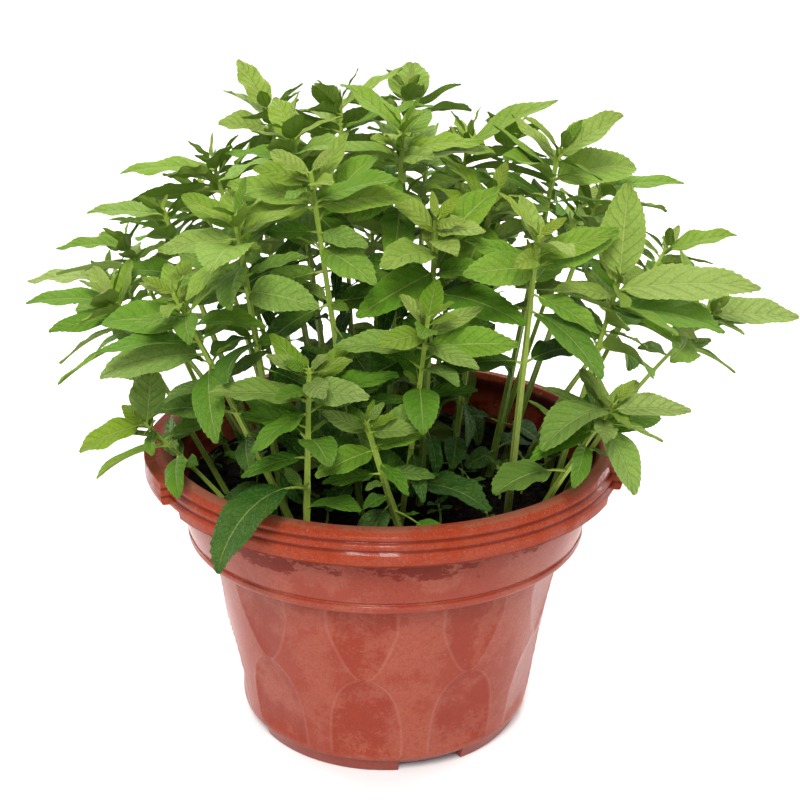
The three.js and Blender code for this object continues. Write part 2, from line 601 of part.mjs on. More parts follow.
// Two crossed ribbons along a stem, wider than the stem
function stemSkins(shoot) {
  const path = stemPath(shoot);
  const triangles = [];
  for (const heading of [0, 90]) {
    const angle = shoot.turn * DEGREE + heading * DEGREE;
    const [left, right] = [-1, 1].map((sign) => {
      const chain = [];
      for (let step = 0; step <= STEM_STEPS; step += 1) {
        const share = step / STEM_STEPS;
        const reach = sign * (stemHalfWidth(share) + CLEARANCE);
        const centre = path.getPoint(share);
        chain.push(new THREE.Vector3(
          centre.x + reach * Math.cos(angle),
          centre.y + reach * Math.sin(angle),
          centre.z,
        ));
      }
      return chain;
    });
    triangles.push(...stripTriangles(left, right));
  }
  return triangles;
}

// Rings round the pot's mouth and over the soil that no leaf may pass through
function potSkins() {
  const sides = 24;
  const spare = 1 / Math.cos(Math.PI / sides);
  const ring = (radius, height) => {
    const chain = [];
    for (let side = 0; side <= sides; side += 1) {
      const angle = (2 * Math.PI * side) / sides;
      chain.push(new THREE.Vector3(radius * Math.cos(angle), radius * Math.sin(angle), height));
    }
    return chain;
  };
  const over = POT_HEIGHT + 0.8;
  const rings = [
    ring(1, SOIL_CROWN + 1),
    ring(80, soilHeight(80) + 1.5),
    ring(insideRadius(SOIL_EDGE) - 2, SOIL_EDGE + 1),
    ring(MOUTH_RADIUS - 1.5, over - 1),
    ring(MOUTH_RADIUS - 0.5, over),
    ring((RIM_RADIUS + 3.5) * spare, over),
    ring((RIM_RADIUS + 4) * spare, RIM_BOTTOM),
    ring((LEDGE_RADIUS + 2) * spare, LEDGE_HEIGHT),
    ring((BASE_RADIUS + 2) * spare, 0),
  ];
  return rings.slice(1).flatMap((upper, i) => stripTriangles(rings[i], upper));
}

// Whether the stretch between two points passes through a triangle
function pierces(start, end, [a, b, c]) {
  const edgeB = [b.x - a.x, b.y - a.y, b.z - a.z];
  const edgeC = [c.x - a.x, c.y - a.y, c.z - a.z];
  const along = [end.x - start.x, end.y - start.y, end.z - start.z];
  const px = along[1] * edgeC[2] - along[2] * edgeC[1];
  const py = along[2] * edgeC[0] - along[0] * edgeC[2];
  const pz = along[0] * edgeC[1] - along[1] * edgeC[0];
  const volume = edgeB[0] * px + edgeB[1] * py + edgeB[2] * pz;
  if (Math.abs(volume) < 1e-9) {
    return false;
  }
  const offset = [start.x - a.x, start.y - a.y, start.z - a.z];
  const u = (offset[0] * px + offset[1] * py + offset[2] * pz) / volume;
  if (u < 0 || u > 1) {
    return false;
  }
  const qx = offset[1] * edgeB[2] - offset[2] * edgeB[1];
  const qy = offset[2] * edgeB[0] - offset[0] * edgeB[2];
  const qz = offset[0] * edgeB[1] - offset[1] * edgeB[0];
  const v = (along[0] * qx + along[1] * qy + along[2] * qz) / volume;
  if (v < 0 || u + v > 1) {
    return false;
  }
  const t = (edgeC[0] * qx + edgeC[1] * qy + edgeC[2] * qz) / volume;
  return t >= 0 && t <= 1;
}

function crossing(one, other) {
  for (const a of one) {
    for (const b of other) {
      for (let i = 0; i < 3; i += 1) {
        if (pierces(a[i], a[(i + 1) % 3], b) || pierces(b[i], b[(i + 1) % 3], a)) {
          return true;
        }
      }
    }
  }
  return false;
}

// What a leaf must clear; blade leaves out the root, where leaves of one stem meet
function obstacle(owner, triangles, blade) {
  const box = new THREE.Box3().setFromPoints(triangles.flat());
  return { owner, triangles, blade, box };
}

function blocks(other, skin) {
  if (!other.box.intersectsBox(skin.box)) {
    return false;
  }
  if (other.owner === skin.owner) {
    return crossing(skin.blade, other.blade);
  }
  return crossing(skin.triangles, other.triangles);
}

// A leaf tries its own pose first, then turns, lifts and shrinks until it stands clear
function settle(leaf, owner, obstacles) {
  for (const size of SIZE_TRIES) {
    for (const turn of TURN_TRIES) {
      for (const lift of LIFT_TRIES) {
        const trial = {
          ...leaf,
          heading: leaf.heading + turn * DEGREE,
          rise: leaf.rise + lift * DEGREE,
          reach: leaf.reach * size,
          half: leaf.half * size,
        };
        const skin = leafSkins(owner, trial);
        if (!obstacles.some((other) => blocks(other, skin))) {
          obstacles.push(skin);
          return trial;
        }
      }
    }
  }
  return null;
}

// Degrees that a leaf adds to its rise and its roll to face outwards
function facing(foot, heading) {
  const turn = heading - Math.atan2(foot.y, foot.x);
  const share = Math.min(1, Math.hypot(foot.x, foot.y) / FACE_DISTANCE);
  return { rise: -FACE_RISE * share * Math.cos(turn), roll: FACE_ROLL * share * Math.sin(turn) };
}

function growLeaves() {
  const random = draws(SEED);
  const wobble = (spread) => (random() - 0.5) * 2 * spread;
  const obstacles = [obstacle(-1, potSkins(), [])];
  SHOOTS.forEach((shoot, owner) => obstacles.push(obstacle(owner, stemSkins(shoot), [])));
  const grown = SHOOTS.map(() => []);
  for (const single of SINGLE_LEAVES) {
    const leaf = {
      foot: stemPath(SHOOTS[single.shoot]).getPoint(single.height),
      heading: single.heading * DEGREE,
      rise: single.rise * DEGREE,
      droop: single.droop * DEGREE,
      reach: single.reach,
      half: single.half,
      stalk: single.stalk,
      fold: FOLD,
      roll: (single.roll ?? 0) * DEGREE,
    };
    const settled = settle(leaf, single.shoot, obstacles);
    if (settled) {
      grown[single.shoot].push(settled);
    }
  }
  PAIRS.forEach((pair, rank) => {
    SHOOTS.forEach((shoot, owner) => {
      const path = stemPath(shoot);
      const length = path.getLength();
      const turn = (shoot.turn + 90 * rank + wobble(STRAY.turn)) * DEGREE;
      for (const side of [0, 1]) {
        const reach = shoot.reach * pair.share * (1 + wobble(STRAY.reach));
        const foot = path.getPoint(Math.max(0.1, 1 - pair.below / length));
        const heading = turn + side * Math.PI + wobble(STRAY.heading) * DEGREE;
        const face = facing(foot, heading);
        const leaf = {
          foot,
          heading,
          rise: (pair.rise + face.rise + wobble(STRAY.rise)) * DEGREE,
          droop: (pair.droop + wobble(STRAY.droop)) * DEGREE,
          reach,
          half: reach * (HALF_SHARE + wobble(STRAY.half)),
          stalk: pair.stalk,
          fold: FOLD + wobble(STRAY.fold),
          roll: (face.roll + wobble(STRAY.roll)) * DEGREE,
        };
        if (rank < shoot.pairs) {
          const settled = settle(leaf, owner, obstacles);
          if (settled) {
            grown[owner].push(settled);
          }
        }
      }
    });
  });
  return grown;
}

function paint(colour, roughness) {
  return new THREE.MeshStandardMaterial({ color: colour, roughness, metalness: 0 });
}

function named(name, solid, material) {
  const mesh = new THREE.Mesh(toGeometry(solid), material);
  mesh.name = name;
  return mesh;
}

const plant = new THREE.Group();
plant.name = "potted_mint";
plant.add(named("pot", potSolid(), paint(0xb2502f, 0.35)));
plant.add(named("soil", soilSolid(SHOOTS.map(rootHole)), paint(0x1d1512, 0.95)));
const foliage = growLeaves();
SHOOTS.forEach((shoot, index) => {
  const solids = [stemSolid(shoot), ...foliage[index].map(leafSolid)];
  const name = `leafy_stem_${String(index + 1).padStart(2, "0")}`;
  plant.add(named(name, fused(solids), paint(0x5f9a3a, 0.55)));
});

export default plant;
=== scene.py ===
import logging
import math
from dataclasses import dataclass, field, replace
from enum import Enum
from itertools import product
from typing import Callable, Optional, Sequence, Union

import bpy
import numpy as np
from mathutils import Matrix, Vector


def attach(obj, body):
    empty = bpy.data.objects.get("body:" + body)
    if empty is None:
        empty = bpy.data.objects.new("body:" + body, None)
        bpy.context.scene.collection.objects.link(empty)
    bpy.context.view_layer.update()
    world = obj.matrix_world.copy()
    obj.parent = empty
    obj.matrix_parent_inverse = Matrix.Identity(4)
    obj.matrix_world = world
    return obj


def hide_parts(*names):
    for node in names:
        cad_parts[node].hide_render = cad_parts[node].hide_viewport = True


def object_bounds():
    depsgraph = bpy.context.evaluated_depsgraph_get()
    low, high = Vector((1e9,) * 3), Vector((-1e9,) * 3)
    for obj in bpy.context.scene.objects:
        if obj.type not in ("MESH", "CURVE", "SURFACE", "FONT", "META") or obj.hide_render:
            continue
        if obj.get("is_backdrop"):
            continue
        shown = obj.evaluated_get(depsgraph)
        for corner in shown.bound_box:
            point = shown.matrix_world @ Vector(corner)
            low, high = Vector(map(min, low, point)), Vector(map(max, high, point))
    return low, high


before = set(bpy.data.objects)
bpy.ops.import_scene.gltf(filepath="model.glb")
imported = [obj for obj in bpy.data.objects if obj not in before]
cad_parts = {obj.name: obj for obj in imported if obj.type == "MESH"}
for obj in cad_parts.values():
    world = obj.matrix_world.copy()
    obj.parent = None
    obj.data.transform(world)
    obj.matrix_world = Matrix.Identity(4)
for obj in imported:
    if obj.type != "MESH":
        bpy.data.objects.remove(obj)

LOG = logging.getLogger("potted_mint")
MILLIMETRE = 0.001
DEGREE = math.pi / 180
ROUND = 2 * math.pi
TINY = 1e-12
SLANT = (0.31, 0.17, 1.0)
BLADE_SLOT, STALK_SLOT = 0, 1
Triple = tuple[float, float, float]
Colour = Triple
Value = Union["Shade", int, float]
Numbers = Union["Shade", np.ndarray]
Paint = Union["Shade", Colour]


# Shader expressions
def operator(operation: str, reflected: bool = False) -> Callable[["Shade", Value], "Shade"]:
    """Makes a method of Shade that adds one kind of Math node.

    Args:
        operation: the Math node's operation.
        reflected: whether the socket is the second of its two values.

    Returns:
        The method.
    """

    def method(self: "Shade", other: Value) -> "Shade":
        """Adds the node with both values."""
        return self.graph.maths(operation, *((other, self) if reflected else (self, other)))

    return method


class Shade:
    """A node socket that adds Math nodes when it is used in an expression."""

    __add__ = __radd__ = operator("ADD")
    __sub__, __rsub__ = operator("SUBTRACT"), operator("SUBTRACT", reflected=True)
    __mul__ = __rmul__ = operator("MULTIPLY")
    __truediv__, __rtruediv__ = operator("DIVIDE"), operator("DIVIDE", reflected=True)
    __pow__ = operator("POWER")
    top, low = operator("MAXIMUM"), operator("MINIMUM")
    azimuth = operator("ARCTAN2")

    def __init__(self, graph: "Graph", socket: bpy.types.NodeSocket) -> None:
        """Keeps the socket and the graph that it belongs to."""
        self.graph = graph
        self.socket = socket

    def __neg__(self) -> "Shade":
        """The socket with its sign changed."""
        return self * -1.0

    def __abs__(self) -> "Shade":
        """The size without its sign."""
        return self.graph.maths("ABSOLUTE", self)

    def fraction(self) -> "Shade":
        """The part behind the decimal point."""
        return self.graph.maths("FRACT", self)

    def above(self, low: float, high: float) -> "Shade":
        """A smooth step from 0 at low to 1 at high.

        Args:
            low: where the step begins.
            high: where it ends, which may lie under low for a falling step.

        Returns:
            The step, from 0 to 1.
        """
        settings = {"interpolation_type": "SMOOTHSTEP", "clamp": True}
        ends = {1: low, 2: high} if low < high else {1: high, 2: low, 3: 1.0, 4: 0.0}
        return self.graph.node("ShaderNodeMapRange", settings, {0: self, **ends})


class Graph:
    """The node tree of one material, built from calls."""

    def __init__(self, name: str) -> None:
        """Makes an empty material with its output.

        Args:
            name: the material's name.
        """
        self.material = bpy.data.materials.new(name)
        self.material.use_nodes = True
        self.tree = self.material.node_tree
        self.tree.nodes.clear()
        self.output = self.tree.nodes.new("ShaderNodeOutputMaterial")

    def node(
        self,
        kind: str,
        settings: Optional[dict] = None,
        sockets: Optional[dict] = None,
        result: Union[int, str] = 0,
    ) -> Shade:
        """Adds a node.

        Args:
            kind: the node's type.
            settings: its own settings, set first.
            sockets: values or links of its sockets, by name or number.
            result: the output that is handed back.

        Returns:
            The chosen output.
        """
        made = self.tree.nodes.new(kind)
        for key, value in (settings or {}).items():
            setattr(made, key, value)
        for key, value in (sockets or {}).items():
            if isinstance(value, Shade):
                self.tree.links.new(value.socket, made.inputs[key])
            else:
                made.inputs[key].default_value = value
        return Shade(self, made.outputs[result])

    def maths(self, operation: str, *values: Value) -> Shade:
        """A Math node of this operation with these values."""
        return self.node("ShaderNodeMath", {"operation": operation}, dict(enumerate(values)))

    def layers(self, colour: Paint, *coats: tuple[Value, Paint]) -> Shade:
        """Lays coats over a colour, one after another.

        Args:
            colour: the colour below.
            coats: the share and the colour of each coat.

        Returns:
            The colour with its coats.
        """
        for share, coat in coats:
            first, second = (end if isinstance(end, Shade) else (*end, 1.0) for end in (colour, coat))
            colour = self.node("ShaderNodeMix", {"data_type": "RGBA"}, {0: share, 6: first, 7: second}, 2)
        return colour

    def split(self, vector: Shade) -> tuple[Shade, Shade, Shade]:
        """The three numbers of a vector."""
        parted = self.node("ShaderNodeSeparateXYZ", None, {0: vector}).socket.node
        return tuple(Shade(self, output) for output in parted.outputs)

    def join(self, *numbers: Value) -> Shade:
        """A vector of three numbers."""
        return self.node("ShaderNodeCombineXYZ", None, dict(enumerate(numbers)))

    def mark(self, name: str) -> tuple[Shade, Shade, Shade]:
        """The three numbers that the mesh keeps for each of its corners under this name."""
        return self.split(self.node("ShaderNodeAttribute", {"attribute_name": name}, None, "Vector"))

    def place(self) -> Shade:
        """The place on the object in millimetres."""
        metres = self.node("ShaderNodeTexCoord", None, None, "Object")
        return self.node("ShaderNodeVectorMath", {"operation": "SCALE"}, {0: metres, "Scale": 1 / MILLIMETRE})

    def noise(self, place: Shade, scale: float, detail: float = 3.0, roughness: float = 0.55) -> Shade:
        """Cloudy noise about 0.5: its clouds a millimetre, its octaves and the weight of the fine ones."""
        sockets = {"Vector": place, "Scale": scale, "Detail": detail, "Roughness": roughness}
        return self.node("ShaderNodeTexNoise", None, sockets, "Fac")

    def cells(self, place: Shade, scale: float, feature: str = "F1") -> Shade:
        """Distance in a pattern of cells, to a cell's middle or to its edge."""
        sockets = {"Vector": place, "Scale": scale}
        return self.node("ShaderNodeTexVoronoi", {"feature": feature}, sockets, "Distance")

    def bump(self, height: Shade, depth: float, strength: float) -> Shade:
        """The normal bent by a height from 0 to 1, which stands for a depth in millimetres."""
        sockets = {"Height": height, "Distance": depth * MILLIMETRE, "Strength": strength}
        return self.node("ShaderNodeBump", None, sockets, "Normal")

    def principled(self, sockets: dict[str, Union[Value, Colour]]) -> Shade:
        """The main shader with its sockets set or linked."""
        return self.node("ShaderNodeBsdfPrincipled", None, sockets)

    def finish(self, shader: Shade) -> bpy.types.Material:
        """Links the shader to the output and hands the material back."""
        self.tree.links.new(shader.socket, self.output.inputs["Surface"])
        return self.material


# Meshes in the making
class Draft:
    """Corners and faces of a mesh in the making, with vectors that its materials read."""

    def __init__(self, *marks: str) -> None:
        """Starts empty.

        Args:
            marks: names of the vectors that are kept for each corner.
        """
        self.corners: list[np.ndarray] = []
        self.faces: list[np.ndarray] = []
        self.slots: list[np.ndarray] = []
        self.marks: dict[str, list[np.ndarray]] = {name: [] for name in marks}
        self.count = 0

    def add(self, corners: np.ndarray, faces: np.ndarray, slot: int = 0, **marks: Sequence[float]) -> None:
        """Adds a closed form.

        Args:
            corners: its corners, one row each.
            faces: four corner numbers a face; a triangle repeats its last one.
            slot: the material slot.
            marks: a vector a corner, or one for all, by name.
        """
        self.corners.append(corners)
        self.faces.append(faces + self.count)
        self.slots.append(np.full(len(faces), slot, np.int32))
        for name, kept in self.marks.items():
            value = np.asarray(marks.get(name, (0.0, 0.0, 0.0)), float)
            kept.append(np.broadcast_to(value, (len(corners), 3)))
        self.count += len(corners)

    def build(
        self, name: str, materials: Sequence[bpy.types.Material], sharp: float = 50.0
    ) -> bpy.types.Object:
        """Makes the object.

        Args:
            name: the object's name.
            materials: its materials, slot by slot.
            sharp: edges with a wider angle than this stay sharp, in degrees.

        Returns:
            The object, linked to the scene.
        """
        faces = np.concatenate(self.faces)
        triangle = faces[:, 2] == faces[:, 3]
        sizes = np.where(triangle, 3, 4)
        keep = np.ones(faces.shape, bool)
        keep[triangle, 3] = False
        mesh = bpy.data.meshes.new(name)
        mesh.vertices.add(self.count)
        corners = np.concatenate(self.corners) * MILLIMETRE
        mesh.vertices.foreach_set("co", corners.astype(np.float32).ravel())
        mesh.loops.add(int(sizes.sum()))
        mesh.loops.foreach_set("vertex_index", faces[keep].astype(np.int32))
        mesh.polygons.add(len(faces))
        mesh.polygons.foreach_set("loop_start", (np.cumsum(sizes) - sizes).astype(np.int32))
        mesh.polygons.foreach_set("material_index", np.concatenate(self.slots))
        for label, kept in self.marks.items():
            vectors = np.concatenate(kept).astype(np.float32).ravel()
            mesh.attributes.new(label, "FLOAT_VECTOR", "POINT").data.foreach_set("vector", vectors)
        mesh.update(calc_edges=True)
        mesh.validate()
        for material in materials:
            mesh.materials.append(material)
        mesh.shade_smooth()
        mesh.set_sharp_from_angle(angle=sharp * DEGREE)
        return hang(name, mesh)


def hang(name: str, data: bpy.types.ID) -> bpy.types.Object:
    """Makes an object and links it to the scene.

    Args:
        name: its name.
        data: its mesh, light or camera.

    Returns:
        The object.
    """
    made = bpy.data.objects.new(name, data)
    bpy.context.scene.collection.objects.link(made)
    return made


def circle(count: int) -> np.ndarray:
    """Angles of corners evenly round a circle."""
    return np.linspace(0, ROUND, count, endpoint=False)


def around(radius: np.ndarray, azimuth: np.ndarray, height: np.ndarray) -> np.ndarray:
    """Places round the upright axis; the azimuth runs from the front towards the right."""
    return np.stack(np.broadcast_arrays(radius * np.sin(azimuth), -radius * np.cos(azimuth), height), axis=-1)


def turned(angle: float, wanted: float) -> float:
    """Angle from one heading to another, from -pi to pi."""
    return (angle - wanted + math.pi) % ROUND - math.pi


def grid_faces(rows: int, columns: int, closed: bool = False) -> np.ndarray:
    """Quads of a grid of corners.

    Args:
        rows: rows of corners.
        columns: corners a row.
        closed: whether each row runs round to its start.

    Returns:
        Four corner numbers a face.
    """
    last = columns if closed else columns - 1
    row, column = np.meshgrid(np.arange(rows - 1), np.arange(last), indexing="ij")
    a = row * columns + column
    b = row * columns + (column + 1) % columns
    return np.stack([a, b, b + columns, a + columns], axis=-1).reshape(-1, 4)


def tube(ends: np.ndarray, rings: np.ndarray) -> tuple[np.ndarray, np.ndarray]:
    """A closed tube through rings of corners.

    Args:
        ends: the places that close it, its first and its last row.
        rings: ring by corner by coordinate.

    Returns:
        Corners and faces.
    """
    count, sides, _ = rings.shape
    corners = np.concatenate([rings.reshape(-1, 3), ends[:1], ends[-1:]])
    side = np.arange(sides)
    following = np.roll(side, -1)
    hub = np.full(sides, count * sides)
    last = hub - sides
    start = np.stack([following, side, hub, hub], axis=1)
    end = np.stack([last + side, last + following, hub + 1, hub + 1], axis=1)
    return corners, np.concatenate([grid_faces(count, sides, closed=True), start, end])


def round_tube(path: np.ndarray, radii: np.ndarray, sides: int) -> tuple[np.ndarray, np.ndarray]:
    """A closed round tube along a path, its corners counted from a slanted heading that no path has.

    Args:
        path: its middle line.
        radii: its radius at each point.
        sides: corners a ring.

    Returns:
        Corners and faces.
    """
    ahead = np.gradient(path, axis=0)
    ahead /= np.linalg.norm(ahead, axis=1, keepdims=True) + TINY
    side = np.cross(ahead, SLANT)
    side /= np.linalg.norm(side, axis=1, keepdims=True) + TINY
    up = np.cross(side, ahead)
    angle = circle(sides)[None, :, None]
    ring = side[:, None] * np.cos(angle) + up[:, None] * np.sin(angle)
    return tube(path, path[:, None] + ring * radii[:, None, None])


# The growth rule, the same as in the part's source, so that each fine leaf lies where its solid is
@dataclass(frozen=True)
class Spread:
    """How far the seeded draws may change each measure of a pair, either way."""

    turn: float
    reach: float
    heading: float
    rise: float
    droop: float
    half: float
    roll: float


@dataclass(frozen=True)
class PairHabit:
    """A pair of leaves: its place under the tip, its size, how it is held and how it varies."""

    below: float
    share: float
    rise: float
    turn: float
    age: float
    half: float
    droop: float
    stalk: float
    fold: float
    lean: float
    spread: Spread


@dataclass(frozen=True)
class Shoot:
    """One stem: root on the soil, tip, bow, turn of the top pair, leaf pairs and leaf length."""

    root: tuple[float, float]
    tip: Triple
    bow: float
    turn: float
    pairs: int
    reach: float


@dataclass(frozen=True)
class SingleLeaf:
    """A leaf set apart from the rule, with its age from 0, young, to 1, old."""

    shoot: int
    height: float
    heading: float
    rise: float
    droop: float
    reach: float
    half: float
    stalk: float
    age: float = 0.3
    roll: float = 0
    tint: float = -1


def solid_pair(
    rank: int, below: float, share: float, rise: float, droop: float, stalk: float, age: float
) -> PairHabit:
    """A pair of the part's solids; each stands across the one above it."""
    spread = Spread(turn=12, reach=0.12, heading=10, rise=10, droop=8, half=0.02, roll=20)
    return PairHabit(below, share, rise, 90 * rank, age, 0.215, droop, stalk, 0.22, 1, spread)


def small_pair(
    below: float, share: float, rise: float, turn: float, age: float, half: float = 0.185
) -> PairHabit:
    """A pair that only the render shows; the older, the longer its stalks and the looser its pose."""
    spread = Spread(20, 0.2, 14, 14 + 10 * age, 12, 0.03, 18 + 16 * age)
    return PairHabit(below, share, rise, turn, age, half, 14 + 38 * age, 1.4 + 5 * age, 0.24, 1.2, spread)


PAIRS = tuple(solid_pair(rank, *row) for rank, row in enumerate((
    (0.5, 0.34, 60, 8, 2.2, 0.02),
    (6, 0.66, 38, 22, 2.6, 0.14),
    (17, 0.98, 24, 34, 3.2, 0.34),
    (38, 1, 16, 40, 4.5, 0.52),
    (66, 0.92, 10, 42, 6, 0.7),
    (98, 0.72, 4, 44, 7, 0.86),
)))

# Buds and further leaves down the stem, then the tufts in the axils
SMALL_PAIRS = tuple(small_pair(*row) for row in (
    (0.0, 0.12, 84, 90, 0.0), (1.5, 0.3, 66, 45, 0.04), (3.5, 0.5, 50, 140, 0.1),
    (9.5, 0.74, 36, 45, 0.2), (13, 0.8, 28, 130, 0.3), (25, 0.9, 22, 50, 0.42),
    (30, 0.7, 18, 120, 0.5), (48, 0.7, 8, 20, 0.66), (78, 0.56, -4, 75, 0.86),
    (112, 0.52, -12, 60, 0.95), (132, 0.56, -12, 40, 1.0, 0.27), (150, 0.54, -6, 120, 1.0, 0.3),
    (166, 0.5, 4, 20, 1.0, 0.32), (180, 0.46, 10, 100, 0.9, 0.34), (192, 0.36, 16, 20, 0.8, 0.34),
    (5, 0.2, 62, 0, 0.06), (16, 0.26, 56, 90, 0.12), (37, 0.34, 50, 0, 0.2),
    (65, 0.36, 42, 90, 0.4), (97, 0.36, 36, 0, 0.6),
))

SHOOTS = tuple(Shoot(*row) for row in (
    ((-12, -45), (-34, -70, 317), 0.5, 20, 5, 46),
    ((-50, -52), (-68, -77, 298), 0.5, 60, 5, 46),
    ((-44, -66), (-98, -74, 260), 0.48, -10, 5, 44),
    ((-84, -18), (-138, -20, 243), 0.5, 10, 4, 46),
    ((-76, -45), (-120, -54, 188), 0.42, 35, 3, 38),
    ((-38, -84), (-34, -101, 233), 0.5, 15, 4, 42),
    ((10, -80), (-8, -104, 208), 0.5, 50, 3, 34),
    ((8, -60), (20, -95, 256), 0.55, 0, 4, 42),
    ((18, -36), (24, -58, 292), 0.5, 45, 5, 46),
    ((0, -14), (8, -28, 330), 0.5, 10, 4, 46),
    ((62, -54), (70, -77, 290), 0.5, 25, 5, 48),
    ((84, -36), (112, -56, 264), 0.5, 5, 4, 50),
    ((95, -18), (164, -30, 240), 0.3, 80, 3, 40),
    ((71, -65), (108, -88, 212), 0.45, 30, 3, 40),
    ((34, -10), (52, -22, 297), 0.5, 70, 4, 46),
    ((-24, -8), (-46, -14, 326), 0.5, 35, 5, 48),
    ((-64, 4), (-114, 6, 281), 0.5, 75, 5, 46),
    ((-48, 28), (-92, 38, 300), 0.5, 20, 5, 46),
    ((56, 2), (86, -4, 316), 0.5, 50, 5, 48),
    ((22, 20), (42, 28, 316), 0.5, 5, 4, 46),
    ((-36, 48), (-64, 58, 324), 0.5, 65, 4, 46),
    ((-16, 22), (-24, 26, 334), 0.5, 0, 4, 46),
    ((4, 50), (10, 62, 334), 0.5, 40, 4, 44),
    ((66, 28), (114, 34, 290), 0.5, 15, 5, 48),
    ((88, 12), (148, 24, 258), 0.42, 60, 4, 42),
    ((-86, 26), (-142, 44, 254), 0.45, 30, 4, 42),
    ((38, 54), (68, 76, 308), 0.5, 25, 4, 46),
    ((-20, 76), (-36, 98, 302), 0.5, 10, 3, 46),
    ((14, 80), (22, 102, 296), 0.48, 55, 3, 46),
    ((64, 56), (108, 80, 268), 0.46, 70, 4, 46),
    ((-62, 54), (-106, 82, 274), 0.46, 40, 4, 46),
    ((-4, 94), (-10, 110, 254), 0.42, 15, 4, 40),
    ((44, 84), (66, 114, 258), 0.44, 35, 4, 42),
    ((-50, 84), (-74, 114, 254), 0.44, 60, 4, 42),
    ((82, 42), (154, 68, 226), 0.3, 20, 4, 42),
    ((-80, 46), (-158, 70, 229), 0.3, 75, 4, 42),
))

SINGLE_LEAVES = tuple(SingleLeaf(*row) for row in (
    (5, 0.35, -132, 30, 105, 57, 13.5, 16, 0.95, 0, 0.2),
    (11, 0.95, -2, 16, 26, 66, 12, 4, 0.3, 32, 0.95),
    (11, 0.99, 75, 80, 14, 44, 11.5, 3, 0.34, 0, 0.8),
    (13, 0.5, -150, 8, 50, 32, 14, 12, 0.16),
    (7, 0.2, -35, 30, 60, 48, 13, 4, 0.95),
    (6, 0.3, -60, -5, 40, 26, 12, 14, 0.3),
    (6, 0.36, -112, 10, 70, 38, 12, 5, 0.95),
    (5, 0.24, -40, 14, 50, 32, 9, 5, 0.22),
    (3, 0.97, 178, 10, 24, 44, 8, 3, 0.3, -18),
    (3, 0.9, -158, 4, 24, 36, 8, 3, 0.36, -22),
    (2, 0.76, -170, 8, 44, 50, 12, 4, 0.4, -28),
    (1, 0.9, -95, 24, 36, 66, 13, 4, 0.36),
    (16, 0.98, 180, 12, 20, 38, 8, 3, 0.3, -16),
    (25, 0.98, -176, 10, 24, 36, 7, 3, 0.3, -12),
    (35, 0.97, -178, 8, 20, 46, 9, 3, 0.3, -12),
    (17, 0.97, 175, 8, 24, 50, 10, 3, 0.3, -14),
    (20, 0.99, 130, 48, 10, 34, 9, 3, 0.15),
    (20, 0.94, -170, 18, 20, 26, 11, 3, 0.2, -20),
    (21, 0.98, 20, 36, 16, 36, 8, 3, 0.2),
    (22, 0.96, 80, 56, 30, 26, 12, 3, 0.3),
    (9, 0.98, 145, 40, 20, 40, 10, 3, 0.2),
    (18, 0.97, 12, 44, 14, 36, 12, 3, 0.2, 20),
    (19, 0.97, 14, 36, 16, 50, 8, 3, 0.25, 18),
    (23, 0.98, 4, 14, 20, 42, 8, 3, 0.3, 14),
    (24, 0.98, 12, 22, 20, 38, 8, 3, 0.3, 16),
    (24, 0.9, -14, 8, 20, 40, 7, 3, 0.4),
    (12, 0.98, -2, 6, 16, 42, 10, 3, 0.3, 28),
    (12, 0.97, 25, 30, 14, 38, 9, 3, 0.3, 24),
    (12, 0.9, 150, 82, 12, 38, 9, 4, 0.2),
    (13, 0.97, -150, 10, 60, 40, 14, 4, 0.42),
    (13, 0.96, 0, 8, 20, 36, 8, 3, 0.34, 24),
    (13, 0.86, -52, -30, 40, 34, 10, 5, 0.4),
    (4, 0.98, -165, -10, 30, 34, 9, 3, 0.24, -24),
    (4, 0.96, 80, 72, 16, 28, 10, 3, 0.3),
))


class Draws:
    """A seeded row of numbers from 0 to 1."""

    WORD = 0xFFFFFFFF
    STEP = 0x6D2B79F5

    def __init__(self, seed: int) -> None:
        """Starts the row."""
        self.state = seed & self.WORD

    def number(self) -> float:
        """The next number of the row.

        Returns:
            A number from 0 to 1.
        """
        self.state = (self.state + self.STEP) & self.WORD
        mixed = self.state
        mixed = ((mixed ^ (mixed >> 15)) * (mixed | 1)) & self.WORD
        mixed ^= (mixed + (mixed ^ (mixed >> 7)) * (mixed | 61)) & self.WORD
        return (mixed ^ (mixed >> 14)) / (self.WORD + 1)

    def turn(self) -> float:
        """An angle anywhere round the circle."""
        return self.number() * ROUND

    def wobble(self, spread: float) -> float:
        """A number up to spread either way."""
        return (self.number() - 0.5) * 2 * spread


@dataclass(frozen=True)
class Leaf:
    """One leaf in its place; lengths in millimetres, angles in radians."""

    foot: Triple
    heading: float
    rise: float
    droop: float
    reach: float
    half: float
    stalk: float
    fold: float
    roll: float
    age: float = 0.3
    solid: bool = False
    tint: float = -1

    def point(self, along: np.ndarray, across: np.ndarray, lift: np.ndarray) -> np.ndarray:
        """A place on the leaf, which bends along an arc from its foot.

        Args:
            along: distance from the foot.
            across: distance from the midrib, to the left.
            lift: height over the blade.

        Returns:
            The places, one row each.
        """
        values = (np.asarray(value, float) for value in (along, across, lift))
        along, across, lift = np.broadcast_arrays(*values)
        bend = self.droop / (self.stalk + self.reach)
        slope = self.rise - bend * along
        fold = np.abs(across) * math.sin(self.fold) + lift
        ahead = (math.sin(self.rise) - np.sin(slope)) / bend - np.sin(slope) * fold
        up = (np.cos(slope) - math.cos(self.rise)) / bend + np.cos(slope) * fold
        side = across * math.cos(self.fold)
        rolled_side = side * math.cos(self.roll) - up * math.sin(self.roll)
        rolled_up = side * math.sin(self.roll) + up * math.cos(self.roll)
        x = self.foot[0] + ahead * math.cos(self.heading) - rolled_side * math.sin(self.heading)
        y = self.foot[1] + ahead * math.sin(self.heading) + rolled_side * math.cos(self.heading)
        return np.stack([x, y, self.foot[2] + rolled_up], axis=-1)


